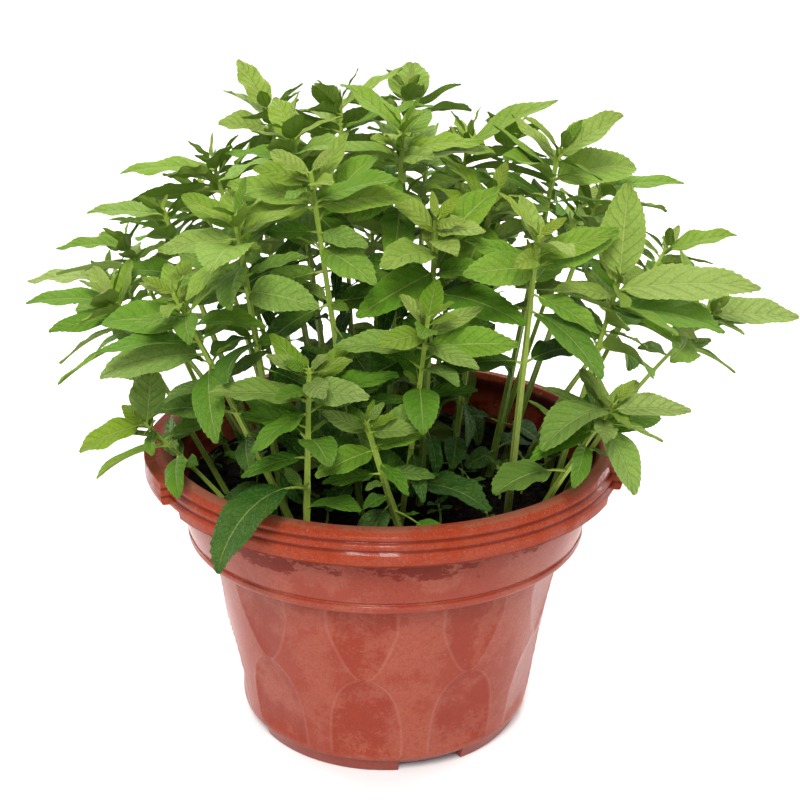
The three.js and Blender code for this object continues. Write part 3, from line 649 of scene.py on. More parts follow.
def outline_width(share: np.ndarray) -> np.ndarray:
    """Half width of a blade at a share of its length, 1 at the widest."""
    share = np.clip(share, 0, 1)
    return 2.674 * (1 - share) ** 0.85 * share**0.6


class EdgeForm(Enum):
    """The coarse edge that a leaf's solid has: shares of its length and of the outline's width."""

    LARGE = ((0, 1), (0.08, 1), (0.3, 1.07), (0.37, 0.92), (0.58, 1.12), (0.66, 0.88), (0.84, 1.2))
    MIDDLE = ((0, 1), (0.12, 1), (0.4, 1.07), (0.5, 0.9), (0.76, 1.18))
    YOUNG = ((0, 1), (0.22, 1), (0.58, 1.1))
    SMALL = ((0, 1), (0.42, 1.04))

    @staticmethod
    def of(reach: float) -> "EdgeForm":
        """The edge of a blade of that length.

        Args:
            reach: the blade's length.

        Returns:
            Its edge.
        """
        if reach > 52:
            return EdgeForm.LARGE
        if reach > 36:
            return EdgeForm.MIDDLE
        return EdgeForm.YOUNG if reach > 20 else EdgeForm.SMALL

    def faces(self) -> np.ndarray:
        """Triangles of one face: root 0, tip 1, then ribs and edges.

        Returns:
            Three corner numbers a triangle.
        """
        ribs = 2 if self is EdgeForm.LARGE else 1
        teeth = len(self.value)
        bridge = teeth if ribs == 1 else math.ceil(teeth / 2)
        rows: list[tuple[int, int, int]] = []
        for edge, flip in ((2 + ribs, False), (2 + ribs + teeth, True)):
            half = [(0, 2, edge)]
            for tooth in range(teeth - 1):
                if tooth + 1 == bridge:
                    half.append((2, 3, edge + tooth))
                rib = 2 if tooth + 1 < bridge else 1 + ribs
                half.append((rib, edge + tooth + 1, edge + tooth))
            half.append((1 + ribs, 1, edge + teeth - 1))
            rows += [(a, c, b) if flip else (a, b, c) for a, b, c in half]
        return np.array(rows)


def pierces(edges: np.ndarray, faces: np.ndarray) -> bool:
    """Whether an edge of one triangle passes through the other, pair by pair.

    Args:
        edges: the triangles whose edges are tried.
        faces: as many triangles that they may pass through.

    Returns:
        True where any does.
    """
    corner = faces[:, 0]
    first, second = faces[:, 1] - corner, faces[:, 2] - corner
    for side in range(3):
        start = edges[:, side]
        ahead = edges[:, (side + 1) % 3] - start
        offset = start - corner
        p, q = np.cross(ahead, second), np.cross(offset, first)
        volume = np.einsum("ij,ij->i", first, p)
        usable = np.abs(volume) >= 1e-9
        volume = np.where(usable, volume, 1.0)
        u, v, t = (np.einsum("ij,ij->i", a, b) / volume for a, b in ((offset, p), (ahead, q), (second, q)))
        if (usable & (u >= 0) & (u <= 1) & (v >= 0) & (u + v <= 1) & (t >= 0) & (t <= 1)).any():
            return True
    return False


@dataclass
class Clearance:
    """Skins that leaves must not pass through, as triangles with their owner."""

    distance: float = 1.5
    triangles: np.ndarray = field(default_factory=lambda: np.zeros((0, 3, 3)))
    owners: np.ndarray = field(default_factory=lambda: np.zeros(0, int))
    blades: np.ndarray = field(default_factory=lambda: np.zeros(0, bool))

    def keep(self, owner: int, triangles: np.ndarray, blades: Optional[np.ndarray] = None) -> None:
        """Adds a skin.

        Args:
            owner: the stem that it belongs to.
            triangles: its triangles.
            blades: which of them lie away from the root, none where it is left out.
        """
        count = len(triangles)
        self.triangles = np.concatenate([self.triangles, triangles])
        self.owners = np.concatenate([self.owners, np.full(count, owner)])
        self.blades = np.concatenate([self.blades, np.zeros(count, bool) if blades is None else blades])
        self.lows = self.triangles.min(axis=1)
        self.highs = self.triangles.max(axis=1)

    def skin(self, leaf: Leaf) -> tuple[np.ndarray, np.ndarray]:
        """The blade's middle surface, and the same lifted and lowered.

        Args:
            leaf: the leaf in its place.

        Returns:
            The triangles, and which of them lie away from the root.
        """
        form = EdgeForm.of(leaf.reach)
        ribs = np.array([0.24, 0.58] if form is EdgeForm.LARGE else [0.42])
        shares, teeth = np.array(form.value).T
        across = np.maximum(0.75, leaf.half * outline_width(shares) * teeth) + self.distance
        along = leaf.stalk + np.concatenate([ribs, shares, shares]) * leaf.reach
        ends = np.array([-0.3, leaf.stalk + leaf.reach + self.distance])
        wide = np.concatenate([np.zeros(2 + len(ribs)), across, -across])
        faces = form.faces()
        skins = [
            leaf.point(np.concatenate([ends, along]), wide, lift)[faces]
            for lift in (0.0, self.distance, -self.distance)
        ]
        return np.concatenate(skins), np.tile(faces[:, 0] != 0, 3)

    def settle(self, owner: int, leaf: Leaf, box: Optional[tuple[np.ndarray, np.ndarray]] = None) -> bool:
        """Keeps a leaf where it stands clear.

        Args:
            owner: its stem.
            leaf: the leaf in its place.
            box: lowest and highest corner that it must stay between, if any.

        Returns:
            Whether it is kept.
        """
        skin, blades = self.skin(leaf)
        if box and ((skin < box[0]).any() or (skin > box[1]).any()):
            return False
        near = np.all((self.lows <= skin.max(axis=(0, 1))) & (self.highs >= skin.min(axis=(0, 1))), axis=1)
        own = self.owners == owner
        if self.crossing(skin, near & ~own) or self.crossing(skin[blades], near & own & self.blades):
            return False
        self.keep(owner, skin, blades)
        return True

    def crossing(self, skin: np.ndarray, chosen: np.ndarray) -> bool:
        """Whether a skin and kept triangles pass through each other.

        Args:
            skin: the skin's triangles.
            chosen: which of the kept triangles count.

        Returns:
            True where they do.
        """
        other, lows, highs = self.triangles[chosen], self.lows[chosen], self.highs[chosen]
        low, high = skin.min(axis=1), skin.max(axis=1)
        meet = np.all((low[:, None] <= highs[None]) & (high[:, None] >= lows[None]), axis=2)
        mine, theirs = np.nonzero(meet)
        if not len(mine):
            return False
        return pierces(skin[mine], other[theirs]) or pierces(other[theirs], skin[mine])


def clamp(value: Numbers, low: float, high: float) -> Numbers:
    """A number, an array or a socket held between two bounds."""
    return value.top(low).low(high) if isinstance(value, Shade) else np.clip(value, low, high)


@dataclass
class PotSizes:
    """Sizes of the pot that its mesh, its finish, its soil and the leaves share."""

    height: float = 160.6
    rim: float = 124.9
    rim_bottom: float = 143.6
    rim_inside: float = 121.4
    rim_inside_top: float = 156.8
    rim_flat: float = 118.6
    grooves: tuple[float, float] = (151.4, 155.7)
    mouth: float = 114.0
    wall: float = 2.2
    body_wall: float = 3.4
    wall_middle: float = 59.35
    collar: float = 111.6
    collar_knee: float = 134.0
    inside_ledge: float = 104.6
    inside_ledge_height: float = 116.0
    ledge: float = 107.2
    ledge_height: float = 115.6
    body_top: float = 97.2
    body_top_height: float = 108.9
    base: float = 80.0
    base_height: float = 9.8
    waist: float = 3.6
    foot: float = 75.0
    foot_width: float = 4.5
    floor_under: float = 4.6
    floor_top: float = 7.2
    floor_edge: float = 73.5
    floor_rings: tuple[float, float] = (62.0, 40.0)
    soil_edge: float = 132.5
    soil_crown: float = 136.0
    soil_sink: float = 0.6
    fit: float = 0.3
    petals: int = 10
    petal_turn: float = -6.5 * DEGREE
    petal_radius: float = 88.0
    arch_half: float = 13.0 * DEGREE
    tongue_half: float = 10.8 * DEGREE
    tongue_swell: float = 1.6
    petal_meeting: float = 0.52
    petal_depth: float = 1.9
    ear_turn: float = 5.5 * DEGREE
    ear_half: float = 24.5 * DEGREE
    ear_radius: float = 128.2
    ear_bottom: float = 147.0
    ear_top: float = 158.6
    skirt_cut_half: float = 30.0 * DEGREE
    skirt_inside: float = 120.9
    foot_gaps: int = 4
    foot_gap_middle: float = 19.5 * DEGREE
    foot_gap: float = 27.0 * DEGREE
    drain: float = 5.0
    drain_circle: float = 52.0

    def soil_height(self, distance: np.ndarray) -> np.ndarray:
        """Height of the soil at a distance from the axis."""
        share = np.minimum(1, np.asarray(distance, float) / self.mouth)
        return self.soil_crown - (self.soil_crown - self.soil_edge) * share**2

    def inside_radius(self, height: float) -> float:
        """Radius of the collar's inner wall."""
        share = (height - self.inside_ledge_height) / (self.collar_knee - self.inside_ledge_height)
        return self.inside_ledge + (self.collar - self.wall - self.inside_ledge) * share

    def body_share(self, height: Numbers) -> Numbers:
        """Height on the tapered body, 0 at its foot and 1 at the ledge."""
        return (height - self.base_height) / (self.body_top_height - self.base_height)

    def body_radius(self, height: Numbers) -> Numbers:
        """Radius of the tapered body, slightly waisted."""
        share = self.body_share(height)
        return self.base + (self.body_top - self.base) * share - self.waist * share * (1 - share)

    def petal(self, azimuth: Numbers, share: Numbers) -> tuple[Numbers, Numbers]:
        """Half the angle that an arch or a tongue spans there, and the angle from its middle.

        Args:
            azimuth: angle from the front towards the right.
            share: height on the body from 0 to 1.

        Returns:
            Both angles, as arrays or as sockets.
        """
        spacing = ROUND / self.petals
        turn = (azimuth - self.petal_turn) / spacing + (2 * self.petals + 0.5)
        offset = abs((turn.fraction() if isinstance(turn, Shade) else turn % 1.0) - 0.5) * spacing
        rise = clamp(share / self.petal_meeting, 0.0, 1.0)
        fall = clamp((share - self.petal_meeting) / (1 - self.petal_meeting), 0.0, 1.0)
        arch = clamp(1 - rise**3, 0.0, 1.0) ** 0.5 * self.arch_half
        tongue = clamp(fall * self.tongue_swell, 0.0, 1.0) ** 0.5 * self.tongue_half
        return arch + tongue, offset

    def ear_middles(self) -> tuple[float, float]:
        """Azimuths of the two lifting ears."""
        return math.pi / 2 + self.ear_turn, -math.pi / 2 + self.ear_turn

    def gap_middles(self) -> list[float]:
        """Azimuths of the gaps in the foot ring, where the drain holes are too."""
        return [self.foot_gap_middle + gap * ROUND / self.foot_gaps for gap in range(self.foot_gaps)]


@dataclass
class Growth:
    """Places every leaf by the rule, then adds the small ones that only the render shows."""

    pot: PotSizes
    box: tuple[np.ndarray, np.ndarray]
    seed: int = 20
    stem_steps: int = 4
    stem_foot: float = 1.6
    stem_tip: float = 0.9
    fold: float = 0.22
    fold_spread: float = 0.12
    face_roll: float = 34
    face_rise: float = 12
    face_full: float = 60
    sizes: tuple[float, ...] = (1, 0.86, 0.72, 0.58)
    turns: tuple[float, ...] = (0, 14, -14, 28, -28)
    lifts: tuple[float, ...] = (0, 12, -12, 24, -24)
    lowest_pair: float = 0.1
    near: float = 0.8
    slip: float = 2
    clear_foot: float = 8
    bare_side: float = 55
    bare: tuple[float, float] = (34, 150)
    skin_sides: int = 24
    leaves: list[list[Leaf]] = field(default_factory=lambda: [[] for _ in SHOOTS])
    room: Clearance = field(default_factory=Clearance)

    def path(self, shoot: Shoot, share: np.ndarray) -> np.ndarray:
        """Places on a stem.

        Args:
            shoot: the stem.
            share: how far along it, from the soil at 0 to its tip at 1.

        Returns:
            The places, one row each.
        """
        share = np.asarray(share, float)[..., None]
        root, tip = np.array(shoot.root, float), np.array(shoot.tip, float)
        ground = float(self.pot.soil_height(math.hypot(*shoot.root)))
        start = np.array([*root, ground])
        bow = np.array([*(root + (tip[:2] - root) * shoot.bow), (ground + tip[2]) / 2])
        return (1 - share) ** 2 * start + 2 * (1 - share) * share * bow + share**2 * tip

    def length(self, shoot: Shoot) -> float:
        """Length of a stem above the soil."""
        places = self.path(shoot, np.linspace(0, 1, 201))
        return float(np.linalg.norm(np.diff(places, axis=0), axis=1).sum())

    def stem_half(self, share: np.ndarray) -> np.ndarray:
        """Half width of a stem."""
        return self.stem_foot + (self.stem_tip - self.stem_foot) * np.asarray(share, float)

    def facing(self, foot: Sequence[float], heading: float) -> tuple[float, float]:
        """How far a leaf turns its face away from the middle of the bush.

        Args:
            foot: where it grows.
            heading: where it points.

        Returns:
            Degrees added to its rise, and to its roll.
        """
        far = min(1.0, math.hypot(foot[0], foot[1]) / self.face_full)
        turn = heading - math.atan2(foot[1], foot[0])
        return -self.face_rise * far * math.cos(turn), self.face_roll * far * math.sin(turn)

    def strip(self, lower: np.ndarray, upper: np.ndarray) -> np.ndarray:
        """Triangles between two chains of places.

        Args:
            lower: one chain.
            upper: the other, as long.

        Returns:
            The triangles.
        """
        first = np.stack([lower[:-1], lower[1:], upper[1:]], axis=1)
        second = np.stack([lower[:-1], upper[1:], upper[:-1]], axis=1)
        return np.concatenate([first, second])

    def stem_skin(self, shoot: Shoot, distance: float) -> np.ndarray:
        """Two crossed ribbons along a stem, wider than it.

        Args:
            shoot: the stem.
            distance: how much wider on each side.

        Returns:
            Their triangles.
        """
        share = np.linspace(0, 1, self.stem_steps + 1)
        middle = self.path(shoot, share)
        reach = (self.stem_half(share) + distance)[:, None]
        ribbons = []
        for heading in (0, 90):
            angle = (shoot.turn + heading) * DEGREE
            across = np.array([math.cos(angle), math.sin(angle), 0.0])
            ribbons.append(self.strip(middle - reach * across, middle + reach * across))
        return np.concatenate(ribbons)

    def pot_skin(self) -> np.ndarray:
        """Rings round the pot's mouth and over the soil that no leaf may pass through.

        Returns:
            Their triangles.
        """
        pot, sides = self.pot, self.skin_sides
        spare = 1 / math.cos(math.pi / sides)
        over = pot.height + 0.8
        levels = (
            (1, pot.soil_crown + 1),
            (80, float(pot.soil_height(80)) + 1.5),
            (pot.inside_radius(pot.soil_edge) - 2, pot.soil_edge + 1),
            (pot.mouth - 1.5, over - 1),
            (pot.mouth - 0.5, over),
            ((pot.rim + 3.5) * spare, over),
            ((pot.rim + 4) * spare, pot.rim_bottom),
            ((pot.ledge + 2) * spare, pot.ledge_height),
            ((pot.base + 2) * spare, 0),
        )
        angle = ROUND * np.arange(sides + 1) / sides
        ring = np.stack([np.cos(angle), np.sin(angle), np.ones(sides + 1)], axis=1)
        rings = [ring * (radius, radius, height) for radius, height in levels]
        return np.concatenate([self.strip(lower, upper) for lower, upper in zip(rings, rings[1:])])

    def stake(self, distance: float) -> None:
        """Starts afresh with the skins of the pot, of the stems and of the leaves so far.

        Args:
            distance: how far off them later leaves stay.
        """
        self.room = Clearance(distance)
        self.room.keep(-1, self.pot_skin())
        for owner, shoot in enumerate(SHOOTS):
            self.room.keep(owner, self.stem_skin(shoot, distance))
        for owner, leaves in enumerate(self.leaves):
            for leaf in leaves:
                self.room.keep(owner, *self.room.skin(leaf))

    def place(self, owner: int, leaf: Leaf) -> None:
        """Tries a leaf's own pose first, then turns, lifts and shrinks it until it stands clear.

        Args:
            owner: its stem.
            leaf: the leaf as the rule gives it; one that no solid has also stays inside the part's box.
        """
        tries = (self.sizes, self.turns, self.lifts)
        if not leaf.solid:
            tries = (self.sizes[:2], self.turns[:3], self.lifts[:3])
        for size, turn, lift in product(*tries):
            trial = replace(
                leaf,
                heading=leaf.heading + turn * DEGREE,
                rise=leaf.rise + lift * DEGREE,
                reach=leaf.reach * size,
                half=leaf.half * size,
            )
            if self.room.settle(owner, trial, None if leaf.solid else self.box):
                self.leaves[owner].append(trial)
                return

    def pair(self, shoot: Shoot, habit: PairHabit, share: float, draws: Draws) -> list[Leaf]:
        """Draws a pair of leaves.

        Args:
            shoot: its stem.
            habit: how it is held and how it varies.
            share: how far along the stem it sits.
            draws: the seeded row.

        Returns:
            Both leaves as the rule gives them.
        """
        spread = habit.spread
        turn = (shoot.turn + habit.turn + draws.wobble(spread.turn)) * DEGREE
        foot = tuple(self.path(shoot, share))
        leaves = []
        for side in (0, 1):
            reach = shoot.reach * habit.share * (1 + draws.wobble(spread.reach))
            heading = turn + side * math.pi + draws.wobble(spread.heading) * DEGREE
            tilt, lean = self.facing(foot, heading)
            leaves.append(Leaf(
                foot=foot,
                heading=heading,
                rise=(habit.rise + tilt + draws.wobble(spread.rise)) * DEGREE,
                droop=(habit.droop + draws.wobble(spread.droop)) * DEGREE,
                reach=reach,
                half=reach * (habit.half + draws.wobble(spread.half)),
                stalk=habit.stalk,
                fold=habit.fold + draws.wobble(self.fold_spread),
                roll=(habit.lean * lean + draws.wobble(spread.roll)) * DEGREE,
                age=habit.age,
            ))
        return leaves

    def grow_solids(self) -> None:
        """Places the leaves that the part's solids have."""
        self.stake(Clearance.distance)
        for single in SINGLE_LEAVES:
            foot = tuple(self.path(SHOOTS[single.shoot], single.height))
            angles = (angle * DEGREE for angle in (single.heading, single.rise, single.droop))
            self.place(single.shoot, Leaf(
                foot, *angles, single.reach, single.half, single.stalk, fold=self.fold,
                roll=single.roll * DEGREE, age=single.age, solid=True, tint=single.tint,
            ))
        draws = Draws(self.seed)
        for rank, habit in enumerate(PAIRS):
            for owner, shoot in enumerate(SHOOTS):
                share = max(self.lowest_pair, 1 - habit.below / self.length(shoot))
                for leaf in self.pair(shoot, habit, share, draws):
                    if rank < shoot.pairs:
                        self.place(owner, replace(leaf, solid=True))

    def grow_small(self) -> None:
        """Adds buds, tufts in the axils and further leaves between those of the solids."""
        self.stake(self.near)
        draws = Draws(self.seed + 1)
        for habit, (owner, shoot) in product(SMALL_PAIRS, enumerate(SHOOTS)):
            length = self.length(shoot)
            below = habit.below + draws.wobble(self.slip)
            if below > length - self.clear_foot:
                continue
            bare = abs(shoot.root[0]) > self.bare_side and self.bare[0] < below < self.bare[1]
            for leaf in self.pair(shoot, habit, min(1.0, 1 - below / length), draws):
                if not bare:
                    self.place(owner, leaf)

    def grow(self) -> None:
        """Places all leaves and counts them."""
        for stage in (self.grow_solids, self.grow_small):
            stage()
            LOG.info("leaves after %s: %d", stage.__name__, sum(map(len, self.leaves)))


# Finishes
@dataclass(frozen=True)
class Bush:
    """The rounded form of the whole bush, by which leaves and stems deep inside get painted shade and outer
    leaves painted light.
    """

    middle: float = 150.0
    half: Triple = (172.0, 122.0, 178.0)

    def depth(self, g: Graph, place: Shade) -> tuple[Shade, Shade, Shade]:
        """Where a place lies in the bush.

        Args:
            g: the material's graph.
            place: the place in millimetres.

        Returns:
            Its share of the half width and of the half height, and its distance from the middle, 1 outside.
        """
        x, y, z = g.split(place)
        x, y, z = x / self.half[0], y / self.half[1], (z - self.middle) / self.half[2]
        return x, z, (x * x + y * y + z * z) ** 0.5


@dataclass(frozen=True)
class MintBlade:
    """The soft, faintly downy surface of a mint leaf, with its ribs and its net of veins."""

    young: Colour = (0.33, 0.43, 0.035)
    ripe: Colour = (0.165, 0.345, 0.020)
    old: Colour = (0.007, 0.042, 0.003)
    dusty: Colour = (0.40, 0.47, 0.17)
    deep: Colour = (0.050, 0.20, 0.010)
    under: Colour = (0.28, 0.39, 0.08)
    # painted shade for leaves low in the bush and near its middle
    shade: Colour = (0.026, 0.115, 0.006)
    felt: Colour = (0.36, 0.49, 0.07)
    dull: Colour = (0.11, 0.20, 0.07)
    rib: Colour = (0.46, 0.56, 0.17)
    glow: Colour = (0.20, 0.40, 0.014)
    rows: float = 7.0
    slant: float = 0.24
    vein_half: float = 0.058
    through: float = 0.26

    def material(self) -> bpy.types.Material:
        """Builds the material.

        Returns:
            The blades' material.
        """
        g = Graph("mint_blade")
        across, along, side = g.mark("blade")
        age, tint, seed = g.mark("leaf")
        place = g.place()
        x, z, shell = Bush().depth(g, place)
        far = abs(across)
        top = side.above(-0.1, 0.1)
        middle = far.above(0.07, 0.012)
        row = ((along - far**1.2 * self.slant + seed * 0.13) * self.rows).fraction() - 0.5
        vein = abs(row).above(self.vein_half, 0.0) * far.above(1.0, 0.6) * along.above(0.0, 0.1)
        # Painted shade: a darker band along one side of each lateral vein.
        vein_side_shade = row.above(-0.30, -0.04) * row.above(0.06, -0.02) * along.above(0.04, 0.14)
        net = g.cells(place, 0.46, "DISTANCE_TO_EDGE").above(0.16, 0.0)
        cloud = g.noise(place, 0.09, 4.0)
        mottle = g.noise(place, 0.7, 3.0, 0.65)
        down = g.noise(place, 2.2, 3.0)
        # Painted shade: leaves deep inside the bush are darkened towards the old colour, and let less light
        # through.
        inner_shade = shell.above(1.02, 0.52)
        fresh = 1.0 - age * 0.8
        ribs = (1.0 - age * 0.6) * 0.7
        # Paler per leaf at random, and paler towards the outside of the bush, less so at the top and inside;
        # the outer part is painted light.
        dust = tint.above(0.40, 0.95) * 0.62 + shell.above(0.9, 1.15) * 0.36
        dust = dust * (1.0 - z.above(0.35, 0.9) * 0.5)
        # Painted shade on leaves low in the bush and near its middle, less on old leaves.
        low_middle_shade = z.above(0.75, 0.1) * abs(x).above(0.75, 0.45)
        colour = g.layers(
            self.young,
            (age.above(0.0, 0.5), self.ripe),
            (age.above(0.36, 0.9), self.old),
            # painted shade deep inside the bush
            (inner_shade * 0.84, self.old),
            (cloud.above(0.42, 0.75) * 0.35 * fresh, self.young),
            # pale dusty green: random per leaf, and painted light on the outer leaves
            (dust * fresh * (1.0 - inner_shade * 0.5), self.dusty),
            # painted shade low in the bush near its middle
            (low_middle_shade * 0.75 * fresh, self.shade),
            (tint.above(0.45, 0.0) * 0.6 * fresh, self.deep),
            (mottle.above(0.40, 0.66) * 0.3 * fresh, self.deep),
            # painted shade beside the veins
            (vein_side_shade * 0.12 * fresh, self.deep),
            # painted shade in the fine vein grooves of the upper face
            (net * top * (age * 0.3 + 0.03), self.old),
            (mottle.above(0.44, 0.66) * age * 0.3, self.dull),
            (vein * ribs * 0.44, self.rib),
            (middle * ribs, self.rib),
            ((1.0 - top) * 0.7, self.under),
            # painted highlight: a pale line along the margin of younger leaves
            (far.above(0.92, 1.0) * ribs * 0.4 * (1.0 - age), self.rib),
            (down.above(0.50, 0.68) * 0.2 * fresh, self.felt),
        )
        relief = (vein * 0.9 + middle * 1.2 + net * (age * 0.5 + 0.06)) * (1.0 - 2.0 * top)
        cushion = abs(row).above(0.0, 0.42) * top * 0.5
        normal = g.bump(relief + cushion + down * 0.35 + mottle * (age * 0.5 + 0.36), 0.42, 0.9)
        body = g.principled({
            "Base Color": colour,
            "Roughness": 0.5 - age * 0.12 + cloud * 0.14 + (1.0 - top) * 0.12,
            "Normal": normal,
            "IOR": 1.42,
            "Specular IOR Level": 0.07,
        })
        glow = g.node("ShaderNodeBsdfTranslucent", None, {"Color": (*self.glow, 1.0), "Normal": normal})
        share = (1.0 - age * 0.85) * (1.0 - inner_shade * 0.8) * self.through
        return g.finish(g.node("ShaderNodeMixShader", None, {0: share, 1: body, 2: glow}))


@dataclass(frozen=True)
class MintStalk:
    """The ridged skin of a stem, pale green at the tip and darker towards the soil."""

    tip: Colour = (0.27, 0.39, 0.045)
    foot: Colour = (0.07, 0.12, 0.012)
    # edge: colour of the painted highlights on the stem's corners and streaks
    edge: Colour = (0.38, 0.47, 0.10)
    woody: Colour = (0.16, 0.12, 0.05)
    # painted shade for stems deep inside the bush
    shade: Colour = (0.03, 0.08, 0.006)

    def material(self) -> bpy.types.Material:
        """Builds the material.

        Returns:
            The stems' and stalks' material.
        """
        g = Graph("mint_stalk")
        ridge, _, _ = g.mark("blade")
        age, tint, _ = g.mark("leaf")
        place = g.place()
        x, y, z = g.split(place)
        streak = g.noise(g.join(x * 1.6, y * 1.6, z * 0.12), 1.0, 3.0)
        down = g.noise(place, 2.6, 2.0)
        colour = g.layers(
            self.tip,
            (age.above(0.3, 1.0), self.foot),
            # painted highlights along the stem's corners and in long streaks over its fine ridges
            (streak.above(0.4, 0.7) * 0.6, self.edge),
            (abs(ridge).above(0.75, 1.0) * 0.35, self.edge),
            (tint.above(0.5, 1.0) * age * 0.5, self.woody),
            # painted shade on stems deep inside the bush
            (Bush().depth(g, place)[2].above(0.9, 0.45) * 0.36, self.shade),
        )
        return g.finish(g.principled({
            "Base Color": colour,
            "Roughness": 0.44 + down * 0.2,
            "Normal": g.bump(streak * 0.8 + down * 0.4, 0.25, 0.8),
            "Specular IOR Level": 0.2,
        }))


@dataclass(frozen=True)
class Loam:
    """Damp dark potting soil with bits of bark."""

    dark: Colour = (0.002, 0.0014, 0.001)
    light: Colour = (0.022, 0.013, 0.008)
    bark: Colour = (0.080, 0.042, 0.024)

    def material(self) -> bpy.types.Material:
        """Builds the material.

        Returns:
            The soil's material.
        """
        g = Graph("potting_loam")
        place = g.place()
        grain = g.noise(place, 0.55, 5.0, 0.7)
        clod = g.cells(place, 0.28)
        chip = g.noise(place, 0.16, 2.0)
        chips = clod.above(0.75, 1.0) * chip.above(0.5, 0.6) * 0.6
        return g.finish(g.principled({
            "Base Color": g.layers(self.dark, (grain.above(0.45, 0.75), self.light), (chips, self.bark)),
            "Roughness": 0.62 + grain * 0.3,
            "Normal": g.bump(grain + clod * 0.6, 1.2, 1.0),
            "Specular IOR Level": 0.05,
        }))


@dataclass(frozen=True)
class DryLeaf:
    """A withered leaf on the soil, straw to grey-brown."""

    straw: Colour = (0.36, 0.29, 0.16)
    brown: Colour = (0.13, 0.085, 0.045)
    rib: Colour = (0.42, 0.36, 0.22)

    def material(self) -> bpy.types.Material:
        """Builds the material.

        Returns:
            The withered leaves' material.
        """
        g = Graph("dry_leaf")
        across, along, _ = g.mark("blade")
        place = g.place()
        blotch = g.noise(place, 0.22, 4.0)
        rib = abs(across).above(0.1, 0.0)
        crinkle = g.noise(place, 0.9, 3.0)
        return g.finish(g.principled({
            "Base Color": g.layers(self.straw, (blotch.above(0.4, 0.7), self.brown), (rib * 0.5, self.rib)),
            "Roughness": 0.72 + blotch * 0.2,
            "Normal": g.bump(crinkle + along * 0.1, 0.8, 0.8),
        }))


